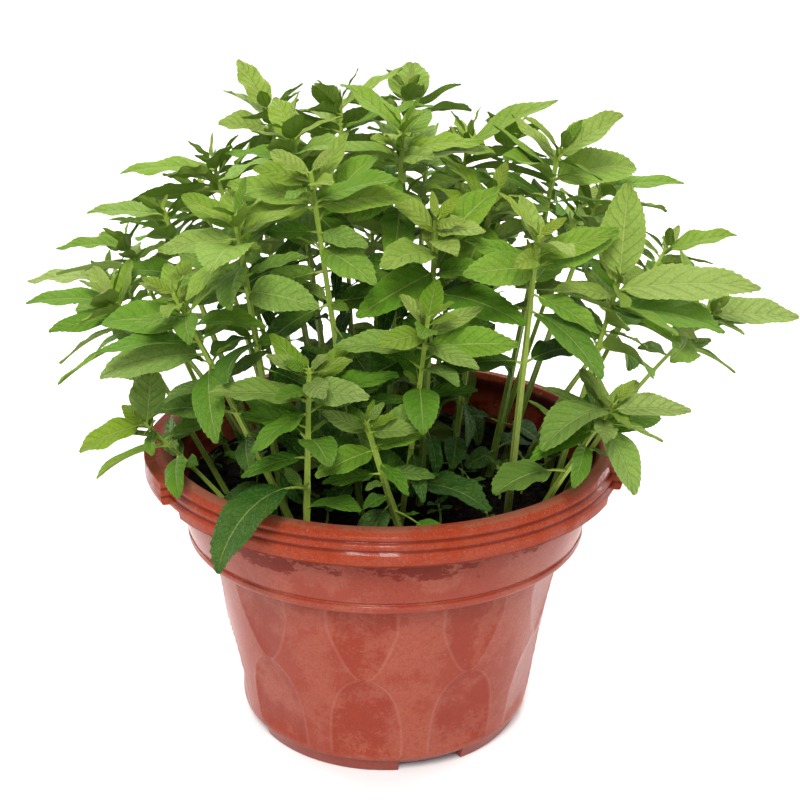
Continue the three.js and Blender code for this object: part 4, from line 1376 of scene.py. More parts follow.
@dataclass(frozen=True)
class PotPlastic:
    """Red-brown moulded plastic: glossy rim, body under a film of dust that the petals lack."""

    sizes: PotSizes
    rim: Colour = (0.30, 0.040, 0.014)
    clean: Colour = (0.255, 0.030, 0.013)
    dusty: Colour = (0.285, 0.045, 0.023)
    film: Colour = (0.34, 0.086, 0.052)
    # deep: near-black red of the painted shade on the inner wall
    deep: Colour = (0.042, 0.003, 0.004)
    grit: Colour = (0.19, 0.024, 0.012)
    fleck: Colour = (0.52, 0.22, 0.16)
    # colour of the painted shadow under the rim and its ragged patches of painted reflection
    rim_shadow_and_reflection: Colour = (0.15, 0.014, 0.007)
    # seam: colour of the painted highlight along the petals' outlines
    seam: Colour = (0.60, 0.30, 0.24)
    # foot: darker red of the painted shade below the body's foot edge
    foot: Colour = (0.20, 0.040, 0.030)
    rim_grit: Colour = (0.16, 0.018, 0.008)
    rim_fleck: Colour = (0.56, 0.24, 0.18)
    # dark red of the dust and painted shade in the rim's grooves and under its skirt
    groove_dust_and_shade: Colour = (0.10, 0.012, 0.007)
    rim_soil: Colour = (0.24, 0.10, 0.06)

    def petals(self, azimuth: Shade, z: Shade) -> tuple[Shade, Shade]:
        """Masks of the petals on the body.

        Args:
            azimuth: angle from the front towards the right.
            z: height in millimetres.

        Returns:
            A mask inside the petals, and a mask of the thin line round them.
        """
        size = self.sizes
        half, offset = size.petal(azimuth, size.body_share(z))
        distance = (half - offset) * size.petal_radius
        band = z.above(size.base_height + 1, size.base_height + 3)
        band = band * z.above(size.body_top_height, size.body_top_height - 2)
        return distance.above(-0.3, 0.6) * band, abs(distance).above(1.3, 0.2) * band

    def inner(self, radius: Shade, z: Shade) -> Shade:
        """A mask of the pot's inner wall.

        Args:
            radius: distance from the axis.
            z: height in millimetres.

        Returns:
            The mask.
        """
        size = self.sizes
        low = z.above(size.body_top_height + 3, size.body_top_height + 1)
        upper = (z - size.inside_ledge_height) * 0.165 + size.inside_ledge + 0.9
        wall = (size.body_radius(z) - 2.7) * low + upper * (1.0 - low)
        return z.above(size.floor_top + 1, size.floor_top + 3) * (wall - radius).above(-0.3, 0.3)

    def material(self) -> bpy.types.Material:
        """Builds the material.

        Returns:
            The pot's material.
        """
        g = Graph("pot_plastic")
        size = self.sizes
        place = g.place()
        x, y, z = g.split(place)
        radius = (x * x + y * y) ** 0.5
        inside, line = self.petals(x.azimuth(-y), z)
        inner = self.inner(radius, z)
        blotch = g.noise(place, 0.035, 8.0, 0.68)
        speck = g.noise(place, 0.55, 5.0, 0.7)
        fine = g.noise(place, 1.6, 3.0)
        ragged = blotch * 0.72 + speck * 0.34
        film = ragged.above(0.50, 0.54)
        grit = (speck * 0.6 + fine * 0.5).above(0.50, 0.62)
        fleck = g.noise(place, 1.1, 2.0).above(0.63, 0.70)
        worn = inside * (ragged + fine * 0.1).above(0.63, 0.57)
        # Painted shadow: a darker band under the rim, with ragged dark patches of painted reflection in it,
        # which also have less coat.
        under = z.above(size.rim_bottom - 22, size.rim_bottom - 6)
        rim_shadow_and_reflection = g.noise(g.join(x, y, z * 2.2), 0.024, 8.0, 0.72) + fine * 0.05 + under * 0.10
        rim_shadow_and_reflection = rim_shadow_and_reflection.above(0.615, 0.64) * under.above(0.0, 0.2)
        # Masks of the rim's lower edge and of its two grooves, which get dust and painted shade.
        skirt = z.above(size.rim_bottom + 1.6, size.rim_bottom + 0.6)
        first, second = (abs(z - height).above(1.1, 0.3) for height in size.grooves)
        flat = z.above(size.height - 1.2, size.height - 0.4)
        rim = z.above(size.rim_bottom - 1.5, size.rim_bottom + 0.5) * radius.above(112.5, 115.5)
        gloss = g.layers(
            self.rim,
            (film * 0.3, self.film),
            (grit * 0.42, self.rim_grit),
            (fleck * 0.3, self.rim_fleck),
            # dust and painted shade in the grooves and along the skirt's lower edge
            (first.top(second).top(skirt) * 0.75, self.groove_dust_and_shade),
            (flat * ragged.above(0.42, 0.56) * 0.6, self.rim_soil),
        )
        colour = g.layers(
            self.dusty,
            (film * 0.7, self.film),
            (worn * 0.7, self.clean),
            (grit * 0.45, self.grit),
            (fleck * film * 0.22, self.fleck),
            # painted shadow and painted reflection under the rim
            (rim_shadow_and_reflection * 0.75 + under * 0.1, self.rim_shadow_and_reflection),
            # painted highlight along the petals' outlines
            (line * 0.09, self.seam),
            (rim, gloss),
            # painted shade below the body's foot edge, over the foot ring
            (z.above(size.base_height - 0.5, size.base_height - 3) * 0.5, self.foot),
            # painted shade over the inner wall
            (inner * 0.95, self.deep),
        )
        dust = film * 0.10 + speck * 0.10 - worn * 0.06
        return g.finish(g.principled({
            "Base Color": colour,
            "Roughness": 0.34 + dust - rim * 0.12 + flat * rim * 0.2 + inner * 0.12,
            "Normal": g.bump(speck * 0.7 + fine * 0.3 + line * 0.9 + film * 0.3, 0.16, 0.6),
            "Specular IOR Level": 0.02,
            "Coat Weight": 0.46 - rim * 0.2 - inner * 0.22 - rim_shadow_and_reflection * 0.2 - worn * 0.08,
            "Coat Roughness": 0.09,
        }))


@dataclass(frozen=True)
class StudioFloor:
    """Plain pale floor."""

    pale: Colour = (0.93, 0.93, 0.93)
    dim: Colour = (0.88, 0.88, 0.88)

    def material(self) -> bpy.types.Material:
        """Builds the material.

        Returns:
            The floor's material.
        """
        g = Graph("studio_floor")
        colour = g.layers(self.pale, (g.noise(g.place(), 0.01, 2.0) * 0.04, self.dim))
        return g.finish(g.principled({"Base Color": colour, "Roughness": 0.9, "Specular IOR Level": 0.1}))


# The pot
class Feature(Enum):
    """What interrupts the pot's round form."""

    EAR = "lifting ear"
    CUT = "cut in the skirt of the rim"
    GAP = "gap in the foot ring"


@dataclass
class Pot:
    """The moulded pot: body with petals, ledge, collar, hollow rim, ears, foot ring and drain holes."""

    sizes: PotSizes
    sides: int = 280
    body_rows: int = 50
    drill_sides: int = 32
    edge: float = 0.16 * DEGREE
    seam: float = 0.28
    seam_half: float = 0.9
    fade: float = 7.0

    def rounded(self, corners: Sequence[Triple], steps: int = 3) -> np.ndarray:
        """Rounds the corners of a profile.

        Args:
            corners: radius, height and fillet of each.
            steps: pieces of each fillet.

        Returns:
            The profile, one row for radius and height.
        """
        points = np.array(corners, float)
        rows = [points[:1, :2]]
        t = np.linspace(0, 1, steps + 1)[:, None]
        for before, here, after in zip(points, points[1:], points[2:]):
            back, ahead = before[:2] - here[:2], after[:2] - here[:2]
            near, far = np.linalg.norm(back), np.linalg.norm(ahead)
            cut = min(here[2], 0.45 * near, 0.45 * far)
            start, end = here[:2] + back / near * cut, here[:2] + ahead / far * cut
            rows.append((1 - t) ** 2 * start + 2 * (1 - t) * t * here[:2] + t**2 * end)
        return np.concatenate([*rows, points[-1:, :2]])

    def upper_profile(self, ear: bool) -> np.ndarray:
        """The profile from the ledge over the rim to the floor, plain or through an ear.

        Args:
            ear: whether it runs through a lifting ear.

        Returns:
            Radius and height, with as many rows either way.
        """
        size = self.sizes
        ledge = [
            (size.body_top, size.body_top_height, 0.4),
            (size.ledge - 2.6, size.body_top_height, 0.5),
            (size.ledge - 0.5, size.body_top_height + 1.7, 0.6),
            (size.ledge, size.body_top_height + 3.3, 0.5),
            (size.ledge - 0.2, size.body_top_height + 4.9, 0.4),
            (size.ledge - 1.3, size.body_top_height + 5.4, 0.3),
            (size.ledge - 1.2, size.body_top_height + 6.2, 0.3),
            (size.ledge - 0.2, size.body_top_height + 7.0, 0.4),
            (size.collar, size.collar_knee, 6.0),
            (size.collar + 2.3, size.rim_inside_top, 0.8),
            (size.rim_inside, size.rim_inside_top, 0.8),
        ]
        first, second = size.grooves
        rim = [
            (size.rim_inside, size.rim_bottom, 0.4),
            (size.rim - 0.7, size.rim_bottom, 0.7),
            (size.rim, first - 1.8, 0.8),
            (size.rim - 1.7, first, 0.4),
            (size.rim - 1.1, second - 1.7, 0.8),
            (size.rim - 3.0, second, 0.4),
            (size.rim - 2.4, second + 2.1, 0.8),
            (size.rim - 4.6, second + 4.1, 0.9),
        ]
        if ear:
            rim = [
                (size.rim_inside, size.ear_bottom, 0.3),
                (size.ear_radius - 0.7, size.ear_bottom, 0.7),
                (size.ear_radius, size.ear_bottom + 2.0, 0.5),
                (size.ear_radius, size.ear_bottom + 4.0, 0.4),
                (size.ear_radius, size.ear_bottom + 6.6, 0.4),
                (size.ear_radius, size.ear_bottom + 8.4, 0.4),
                (size.ear_radius, size.ear_top, 0.9),
                (size.rim_inside + 1.2, size.ear_top, 0.5),
            ]
        wide, narrow = size.floor_rings
        inside = [
            (size.rim_flat, size.height, 1.4),
            (size.mouth + 0.4, size.height, 0.9),
            (size.mouth - 2.3, size.height - 4, 2.0),
            (size.collar - size.wall, size.collar_knee, 6.0),
            (size.inside_ledge, size.inside_ledge_height, 1.6),
            (size.body_top - size.body_wall, size.body_top_height - 1.6, 1.6),
            (size.body_radius(size.wall_middle) - size.body_wall, size.wall_middle, 8.0),
            (size.base - size.body_wall, size.floor_top + 3.6, 1.0),
            (size.floor_edge, size.floor_top, 1.0),
            (wide, size.floor_top, 0.1),
            (narrow, size.floor_top, 0.1),
            (0.0, size.floor_top, 0.0),
        ]
        return self.rounded(ledge + rim + inside)

    def lower_profile(self, gap: bool) -> np.ndarray:
        """The profile from the middle of the underside to the body's foot.

        Args:
            gap: whether it runs through a gap in the foot ring.

        Returns:
            Radius and height, with as many rows either way.
        """
        size = self.sizes
        ground = size.floor_under - 0.02 if gap else 0.0
        wide, narrow = size.floor_rings
        return self.rounded([
            (0.0, size.floor_under, 0.0),
            (narrow, size.floor_under, 0.1),
            (wide, size.floor_under, 0.1),
            (size.foot - size.foot_width, size.floor_under, 0.2),
            (size.foot - size.foot_width, ground, 0.4),
            (size.foot, ground, 0.6),
            (size.foot + 2.0, size.base_height - 1.7, 0.4),
            (size.base - 0.2, size.base_height - 0.8, 0.6),
            (size.base + 0.1, size.base_height + 0.9, 0.5),
        ], 2)

    def body(self, azimuth: np.ndarray) -> np.ndarray:
        """The body's outer rows with the petals pressed in.

        Args:
            azimuth: angle of each column.

        Returns:
            Radius and height, row by column.
        """
        size = self.sizes
        height = np.linspace(size.base_height + 1.2, size.body_top_height - 0.3, self.body_rows)[:, None]
        share = size.body_share(height)
        half, offset = size.petal(azimuth, share)
        half = half + 1e-9
        dip = size.petal_depth * (half / size.arch_half) * (1 - (offset / half) ** 2)
        line = ((half - offset) * size.petal_radius + 0.2) / self.seam_half
        seam = self.seam * np.exp(-(line**2)) * (half > 0.02)
        dip = np.where((offset < half) & (share > 0) & (share < 1), dip, 0.0) - seam
        fade = np.clip((height - size.base_height - 1.5) / self.fade, 0, 1)
        radius = size.body_radius(height) - dip * fade * fade * (3 - 2 * fade)
        return np.stack(np.broadcast_arrays(radius, height), axis=-1)

    def spans(self, feature: Feature) -> list[tuple[float, float]]:
        """Where a feature lies.

        Args:
            feature: the feature.

        Returns:
            The middle and the half angle of each.
        """
        size = self.sizes
        if feature is Feature.GAP:
            return [(middle, size.foot_gap / 2) for middle in size.gap_middles()]
        half = size.ear_half if feature is Feature.EAR else size.skirt_cut_half
        return [(middle, half) for middle in size.ear_middles()]

    def columns(self) -> np.ndarray:
        """Angles of the corners round the pot, closer where an ear, a cut or a gap ends.

        Returns:
            The angles in rising order.
        """
        even = circle(self.sides) - math.pi
        spans = [span for feature in Feature for span in self.spans(feature)]
        ends = np.array([middle + way * half for middle, half in spans for way in (-1, 1)])
        near = turned(ends[:, None] + self.edge * np.array([-1, 0, 1]), 0.0).ravel()
        clear = np.abs(turned(even[:, None], near)).min(axis=1) > 1.25 * self.edge
        return np.sort(np.concatenate([even[clear], near]))

    def blend(self, plain: np.ndarray, other: np.ndarray, share: np.ndarray) -> np.ndarray:
        """Rows that follow one profile or the other, column by column."""
        return plain[:, None] * (1 - share)[:, None] + other[:, None] * share[:, None]

    def mesh(self) -> bpy.types.Object:
        """Builds the pot's closed mesh.

        Returns:
            The pot.
        """
        size = self.sizes
        azimuth = self.columns()
        ear, cut, gap = (
            np.max([
                np.clip((half + self.edge - np.abs(turned(azimuth, middle))) / (2 * self.edge), 0, 1)
                for middle, half in self.spans(feature)
            ], axis=0)
            for feature in Feature
        )
        lower = self.blend(self.lower_profile(False), self.lower_profile(True), gap)
        upper = self.blend(self.upper_profile(False), self.upper_profile(True), ear)
        skirt = (upper[..., 0] > size.skirt_inside) & (upper[..., 1] < size.ear_bottom)
        lifted = np.maximum(upper[..., 1], size.ear_bottom * cut + upper[..., 1] * (1 - cut))
        upper[..., 1] = np.where(skirt, lifted, upper[..., 1])
        rows = np.concatenate([lower, self.body(azimuth), upper])
        corners = around(rows[..., 0], azimuth, rows[..., 1])
        draft = Draft()
        draft.add(*tube(corners[[0, -1], 0], corners[1:-1]))
        made = draft.build("mint_pot", [PotPlastic(size).material()], sharp=38.0)
        self.drill(made)
        return made

    def drill(self, pot: bpy.types.Object) -> None:
        """Cuts the drain holes through the floor.

        Args:
            pot: the pot's object, whose mesh is replaced.
        """
        size = self.sizes
        draft = Draft()
        ring = circle(self.drill_sides)
        flat = np.stack([np.cos(ring), np.sin(ring), np.zeros(self.drill_sides)], axis=1) * size.drain
        reach = np.array([size.floor_under - 2.6, size.floor_top + 2.3])
        for azimuth in size.gap_middles():
            path = around(size.drain_circle, azimuth, reach)
            draft.add(*tube(path, path[:, None] + flat))
        drills = draft.build("drills", [])
        cutter = pot.modifiers.new("drain_holes", "BOOLEAN")
        cutter.operation = "DIFFERENCE"
        cutter.solver = "MANIFOLD"
        cutter.object = drills
        plain = pot.data
        pot.data = bpy.data.meshes.new_from_object(pot.evaluated_get(bpy.context.evaluated_depsgraph_get()))
        pot.modifiers.clear()
        bpy.data.meshes.remove(plain)
        pot.data.name = pot.name
        bpy.data.objects.remove(drills)


# The soil
@dataclass
class Soil:
    """The soil with its crumbs."""

    sizes: PotSizes
    sides: int = 160
    rings: int = 56
    seed: int = 5
    waves: tuple[tuple[float, float], ...] = (
        (0.05, 0.9), (0.11, 0.7), (0.21, 0.5), (0.43, 0.35), (0.8, 0.22),
    )
    crumb_tries: int = 900
    crumb_room: float = 3.5
    pebble_sides: int = 6
    pebble_level: float = 0.62

    def ripple(self, x: np.ndarray, y: np.ndarray) -> np.ndarray:
        """Lumps of the soil's surface, a few millimetres high.

        Args:
            x: places across.
            y: places along.

        Returns:
            Their height over the smooth surface.
        """
        rough = np.zeros_like(x)
        draws = Draws(self.seed)
        for wave, height in self.waves:
            for _ in range(4):
                heading, phase = draws.turn(), draws.turn()
                rough += height * np.sin((x * math.cos(heading) + y * math.sin(heading)) * wave * 2 + phase)
        return rough * 0.5

    def level(self, x: float, y: float) -> float:
        """Height of the soil with its lumps."""
        smooth = float(self.sizes.soil_height(math.hypot(x, y))) - self.sizes.soil_sink
        return smooth + float(self.ripple(np.array(float(x)), np.array(float(y))))

    def mesh(self, finish: bpy.types.Material) -> bpy.types.Object:
        """Builds the soil's body with its lumpy top.

        Args:
            finish: the soil's material.

        Returns:
            The soil.
        """
        size = self.sizes
        azimuth = circle(self.sides)
        wall = np.array([
            (size.floor_edge, size.floor_top + size.fit),
            (size.base - size.body_wall, size.floor_top + 3.9),
            (size.body_radius(size.wall_middle) - size.body_wall, size.wall_middle),
            (size.body_top - size.body_wall, size.body_top_height - 1.7),
            (size.inside_ledge, size.inside_ledge_height),
            (size.inside_radius(size.soil_edge), size.soil_edge - 1),
        ])
        sides = around(wall[:, :1] - size.fit, azimuth, wall[:, 1:])
        share = np.linspace(1, 0.02, self.rings) ** 0.8
        radius = share * (size.inside_radius(size.soil_edge) - 2 * size.fit)
        top = around(radius[:, None], azimuth, (size.soil_height(radius) - size.soil_sink)[:, None])
        top[..., 2] += self.ripple(top[..., 0], top[..., 1]) * np.clip((1 - share) * 12, 0.2, 1)[:, None]
        ends = np.array([[0, 0, size.floor_top + size.fit], [0, 0, top[-1, :, 2].mean()]])
        draft = Draft()
        draft.add(*tube(ends, np.concatenate([sides, top])))
        return draft.build("potting_soil", [finish], sharp=60.0)

    def crumbs(self, finish: bpy.types.Material) -> bpy.types.Object:
        """Scatters crumbs of soil and bark over the surface, off the stems.

        Args:
            finish: the soil's material.

        Returns:
            The crumbs.
        """
        draws = Draws(self.seed + 7)
        draft = Draft()
        stems = np.array([shoot.root for shoot in SHOOTS])
        widest = self.sizes.inside_radius(self.sizes.soil_edge) - 6
        for _ in range(self.crumb_tries):
            radius, angle = math.sqrt(draws.number()) * widest, draws.turn()
            x, y = radius * math.cos(angle), radius * math.sin(angle)
            reach = 1.0 + 2.6 * draws.number() ** 3
            flat = 0.45 + 0.4 * draws.number()
            long = 1 + 1.4 * draws.number() ** 2
            turn = draws.number() * math.pi
            if np.hypot(*(stems - (x, y)).T).min() < self.crumb_room + reach * long:
                draws.number()
                continue
            corners, faces = self.pebble(draws)
            cos, sin = math.cos(turn), math.sin(turn)
            spin = np.array([[cos, -sin, 0], [sin, cos, 0], [0, 0, 1]])
            stretched = corners * np.array([reach * long, reach, reach * flat])
            draft.add(stretched @ spin.T + np.array([x, y, self.level(x, y) + 0.2 * reach]), faces)
        return draft.build("soil_crumbs", [finish], sharp=180.0)

    def pebble(self, draws: Draws) -> tuple[np.ndarray, np.ndarray]:
        """A small lumpy form.

        Args:
            draws: the seeded row.

        Returns:
            Corners and faces.
        """
        level = np.array([-1.0, 0.0, 1.0])[:, None] * self.pebble_level
        spread, angle = np.sqrt(1 - level**2), circle(self.pebble_sides)
        rings = np.stack(np.broadcast_arrays(spread * np.cos(angle), spread * np.sin(angle), level), axis=-1)
        lumps = [[draws.wobble(0.28) for _ in angle] for _ in level]
        return tube(np.array([[0, 0, -0.95], [0, 0, 0.95]]), rings * (1 + np.array(lumps)[..., None]))


# Leaves and stems as fine meshes
class Fineness(Enum):
    """How fine a blade is: its least length, teeth a side, their depth and the columns from the edge."""

    LARGE = (52, 16, 0.05, (1.0, 0.88, 0.6, 0.3, 0.06))
    MIDDLE = (30, 13, 0.028, (1.0, 0.84, 0.45, 0.08))
    YOUNG = (13, 7, 0.02, (1.0, 0.6, 0.1))
    BUD = (0, 4, 0.02, (1.0, 0.3))

    @staticmethod
    def of(reach: float) -> "Fineness":
        """How fine a blade of that length is."""
        return next(fineness for fineness in Fineness if reach > fineness.value[0])


@dataclass
class BladeMaker:
    """Adds leaves to a draft as fine closed blades with teeth, waves and ribs, on their stalks."""

    draft: Draft
    draws: Draws
    box: tuple[np.ndarray, np.ndarray]
    thickness: float = 0.35
    slim: float = 0.97
    least_half: float = 0.42
    grown_length: float = 40.0
    root_fade: float = 0.14
    tip_fade: float = 0.05
    wave_least: float = 0.5
    turns_least: float = 1.3
    turns_more: float = 1.6
    calm_side: float = 0.7
    curl: float = 0.04
    curl_spread: float = 0.12
    age_spread: float = 0.08
    shallow_jag: float = 0.25
    tooth_lean: float = 0.3 / 2.2
    veins: float = 7.0
    vein_slant: float = 0.2
    quilt: float = 1.08
    groove: float = 0.35
    groove_half: float = 0.9
    rib: float = 0.55
    rib_half: float = 0.75
    stalk_sides: int = 6
    stalk_rings: int = 6
    stalk_foot: float = 0.95
    stalk_end: float = 0.35
    grown_stalk: float = 34.0

    def add(self, leaf: Leaf) -> None:
        """Adds a blade and its stalk.

        Args:
            leaf: the leaf in its place.
        """
        _, teeth, depth, columns = Fineness.of(leaf.reach).value
        draws = self.draws
        wave, phase = self.wave_least + draws.number(), draws.turn()
        turns = self.turns_least + self.turns_more * draws.number()
        curl = self.curl + draws.wobble(self.curl_spread)
        tint, seed = draws.number(), draws.number()
        age = min(1.0, max(0.0, leaf.age + draws.wobble(self.age_spread)))
        habit = (age, leaf.tint if leaf.tint >= 0 else tint, seed)
        size = min(1.0, leaf.reach / self.grown_length)
        share, jag = self.rows(teeth)
        sides = np.array([*columns, 0.0, *(-value for value in reversed(columns))])
        far = np.abs(sides)
        envelope = np.clip(share / self.root_fade, 0, 1) * np.clip((1 - share) / self.tip_fade, 0, 1)
        tooth = jag * envelope * np.select([far == 1, far == columns[1]], [1.0, self.shallow_jag])
        across = leaf.half * outline_width(share) * self.slim * sides
        width = np.maximum(np.abs(across) + tooth * depth * leaf.half, self.least_half * far)
        across = np.sign(across) * width
        along = leaf.stalk + share * leaf.reach + tooth * self.tooth_lean * leaf.reach / teeth
        along = np.minimum(along, leaf.stalk + leaf.reach)
        flutter = wave * size * np.sin(share * turns * ROUND + phase) * far**2.2
        flutter = flutter * np.where(sides < 0, self.calm_side, 1.0)
        sag = -curl * leaf.half * far**2 * np.sin(math.pi * share)
        sweep = (share - far**1.3 * self.vein_slant) * self.veins + seed * 0.91
        quilt = self.quilt * size * np.cos(ROUND * sweep) * far * (1 - far) * envelope
        groove = self.groove * size * np.exp(-((across / self.groove_half) ** 2)) * envelope
        lift = flutter + sag + quilt - groove
        thick = self.thickness * size * (1 - far**3) * envelope * 0.5
        rib = self.rib * size * np.exp(-((across / self.rib_half) ** 2)) * (1 - share) ** 0.7 * (far < 0.3)
        upper = leaf.point(along, across, lift + thick)
        self.close(upper, leaf.point(along, across, lift - thick - rib), sides, share, habit)
        self.stalk(leaf, habit)

    def rows(self, teeth: int) -> tuple[np.ndarray, np.ndarray]:
        """Shares of the blade's length for its rows, and how far each stands out at the edge.

        Args:
            teeth: number of teeth.

        Returns:
            The shares, and the jags from below 0 in a notch to their most at a tooth's point, as columns.
        """
        steps = [(tooth + part) / teeth for tooth in range(teeth) for part in (0.0, 0.6)]
        share = 0.012 + 0.972 * np.array([*steps, 1.0])
        return np.array([[0.0, *share]]).T, np.array([[0.0, *(-0.5, 0.8) * teeth, 0.0]]).T

    def close(
        self, upper: np.ndarray, lower: np.ndarray, sides: np.ndarray, share: np.ndarray, habit: Triple
    ) -> None:
        """Joins both faces of a blade to one closed form.

        Args:
            upper: corners of the upper face, row by column.
            lower: corners of the lower face.
            sides: place of each column from -1 to 1.
            share: place of each row from 0 to 1.
            habit: age, tint and seed of the leaf.
        """
        rows, columns, _ = upper.shape
        count = rows * columns
        number = np.arange(count).reshape(rows, columns)
        rim = np.concatenate([number[0], number[1:, -1], number[-1, -2::-1], number[-2:0:-1, 0]])
        following = np.roll(rim, -1)
        band = np.stack([rim, rim + count, following + count, following], axis=1)
        grid = grid_faces(rows, columns)
        marks = np.stack(np.broadcast_arrays(sides, share, 1.0), axis=-1).reshape(-1, 3)
        marks = np.concatenate([marks, marks * (1, 1, -1)])
        corners = np.clip(np.concatenate([upper.reshape(-1, 3), lower.reshape(-1, 3)]), *self.box)
        faces = np.concatenate([grid[:, [0, 3, 2, 1]], grid + count, band])
        self.draft.add(corners, faces, BLADE_SLOT, blade=marks, leaf=habit)

    def stalk(self, leaf: Leaf, habit: Triple) -> None:
        """Adds the leaf's stalk, from inside the stem into the blade.

        Args:
            leaf: the leaf in its place.
            habit: its age, tint and seed.
        """
        size = min(1.0, leaf.reach / self.grown_stalk)
        along = np.linspace(-0.8, leaf.stalk + 0.1 * leaf.reach, self.stalk_rings)
        radii = np.linspace(self.stalk_foot, self.stalk_end, self.stalk_rings) * (0.45 + 0.55 * size)
        form = round_tube(leaf.point(along, 0.0, -0.25 * size), radii, self.stalk_sides)
        self.draft.add(*form, STALK_SLOT, leaf=(habit[0] * 0.7, *habit[1:]))


@dataclass
class LeafyStem:
    """One stem with its leaves, as one piece that stands for its node."""

    number: int
    growth: Growth
    depth: float = 15.8
    rings: int = 30
    sides: int = 16
    swell: float = 0.16
    swell_reach: float = 2.6
    blunt: float = 1.26
    flank: float = 0.86
    ridge: float = 0.2
    hollow: float = 0.06
    aging: float = 190.0

    def stem(self, draft: Draft, draws: Draws) -> None:
        """Adds the square stem, swollen a little where leaves sit.

        Args:
            draft: the piece in the making.
            draws: the seeded row.
        """
        shoot = SHOOTS[self.number - 1]
        share = np.array([0.0, *np.linspace(0, 1, self.rings)])
        path = self.growth.path(shoot, share)
        path[0, 2] -= self.depth
        leaves = self.growth.leaves[self.number - 1]
        feet = np.array([leaf.foot for leaf in leaves if leaf.solid] or [shoot.tip])
        distance = np.linalg.norm(path[:, None] - feet, axis=2)
        swell = np.exp(-((distance / self.swell_reach) ** 2)).max(axis=1)
        angle = circle(self.sides)
        turned_angle = angle + shoot.turn * DEGREE
        ridge, hollow = np.abs(np.sin(2 * angle)), np.abs(np.cos(2 * angle))
        square = 1 / np.maximum(np.abs(np.cos(angle)), np.abs(np.sin(angle)))
        profile = self.flank + self.ridge * ridge**4 - self.hollow * hollow**6
        profile = profile * np.minimum(square, self.blunt)
        x, y = np.cos(turned_angle) * profile, np.sin(turned_angle) * profile
        reach = self.growth.stem_half(share) * (1 + self.swell * swell)
        ring = np.stack([x, y, np.zeros(self.sides)], axis=-1)
        corners, faces = tube(path, path[:, None] + ring * reach[:, None, None])
        blade, leaf = np.zeros((2, len(corners), 3))
        blade[:-2, 0] = np.tile(ridge, len(share))
        leaf[:, 0] = np.clip((shoot.tip[2] - corners[:, 2]) / self.aging, 0, 1)
        leaf[:, 1] = draws.number()
        draft.add(corners, faces, STALK_SLOT, blade=blade, leaf=leaf)

    def mesh(self, materials: Sequence[bpy.types.Material]) -> bpy.types.Object:
        """Builds the piece.

        Args:
            materials: the blades' and the stalks' materials.

        Returns:
            The leafy stem.
        """
        draws = Draws(1000 + self.number)
        draft = Draft("blade", "leaf")
        self.stem(draft, draws)
        maker = BladeMaker(draft, draws, self.growth.box)
        for leaf in self.growth.leaves[self.number - 1]:
            maker.add(leaf)
        return draft.build(f"mint_stem_{self.number:02d}", materials, sharp=60.0)


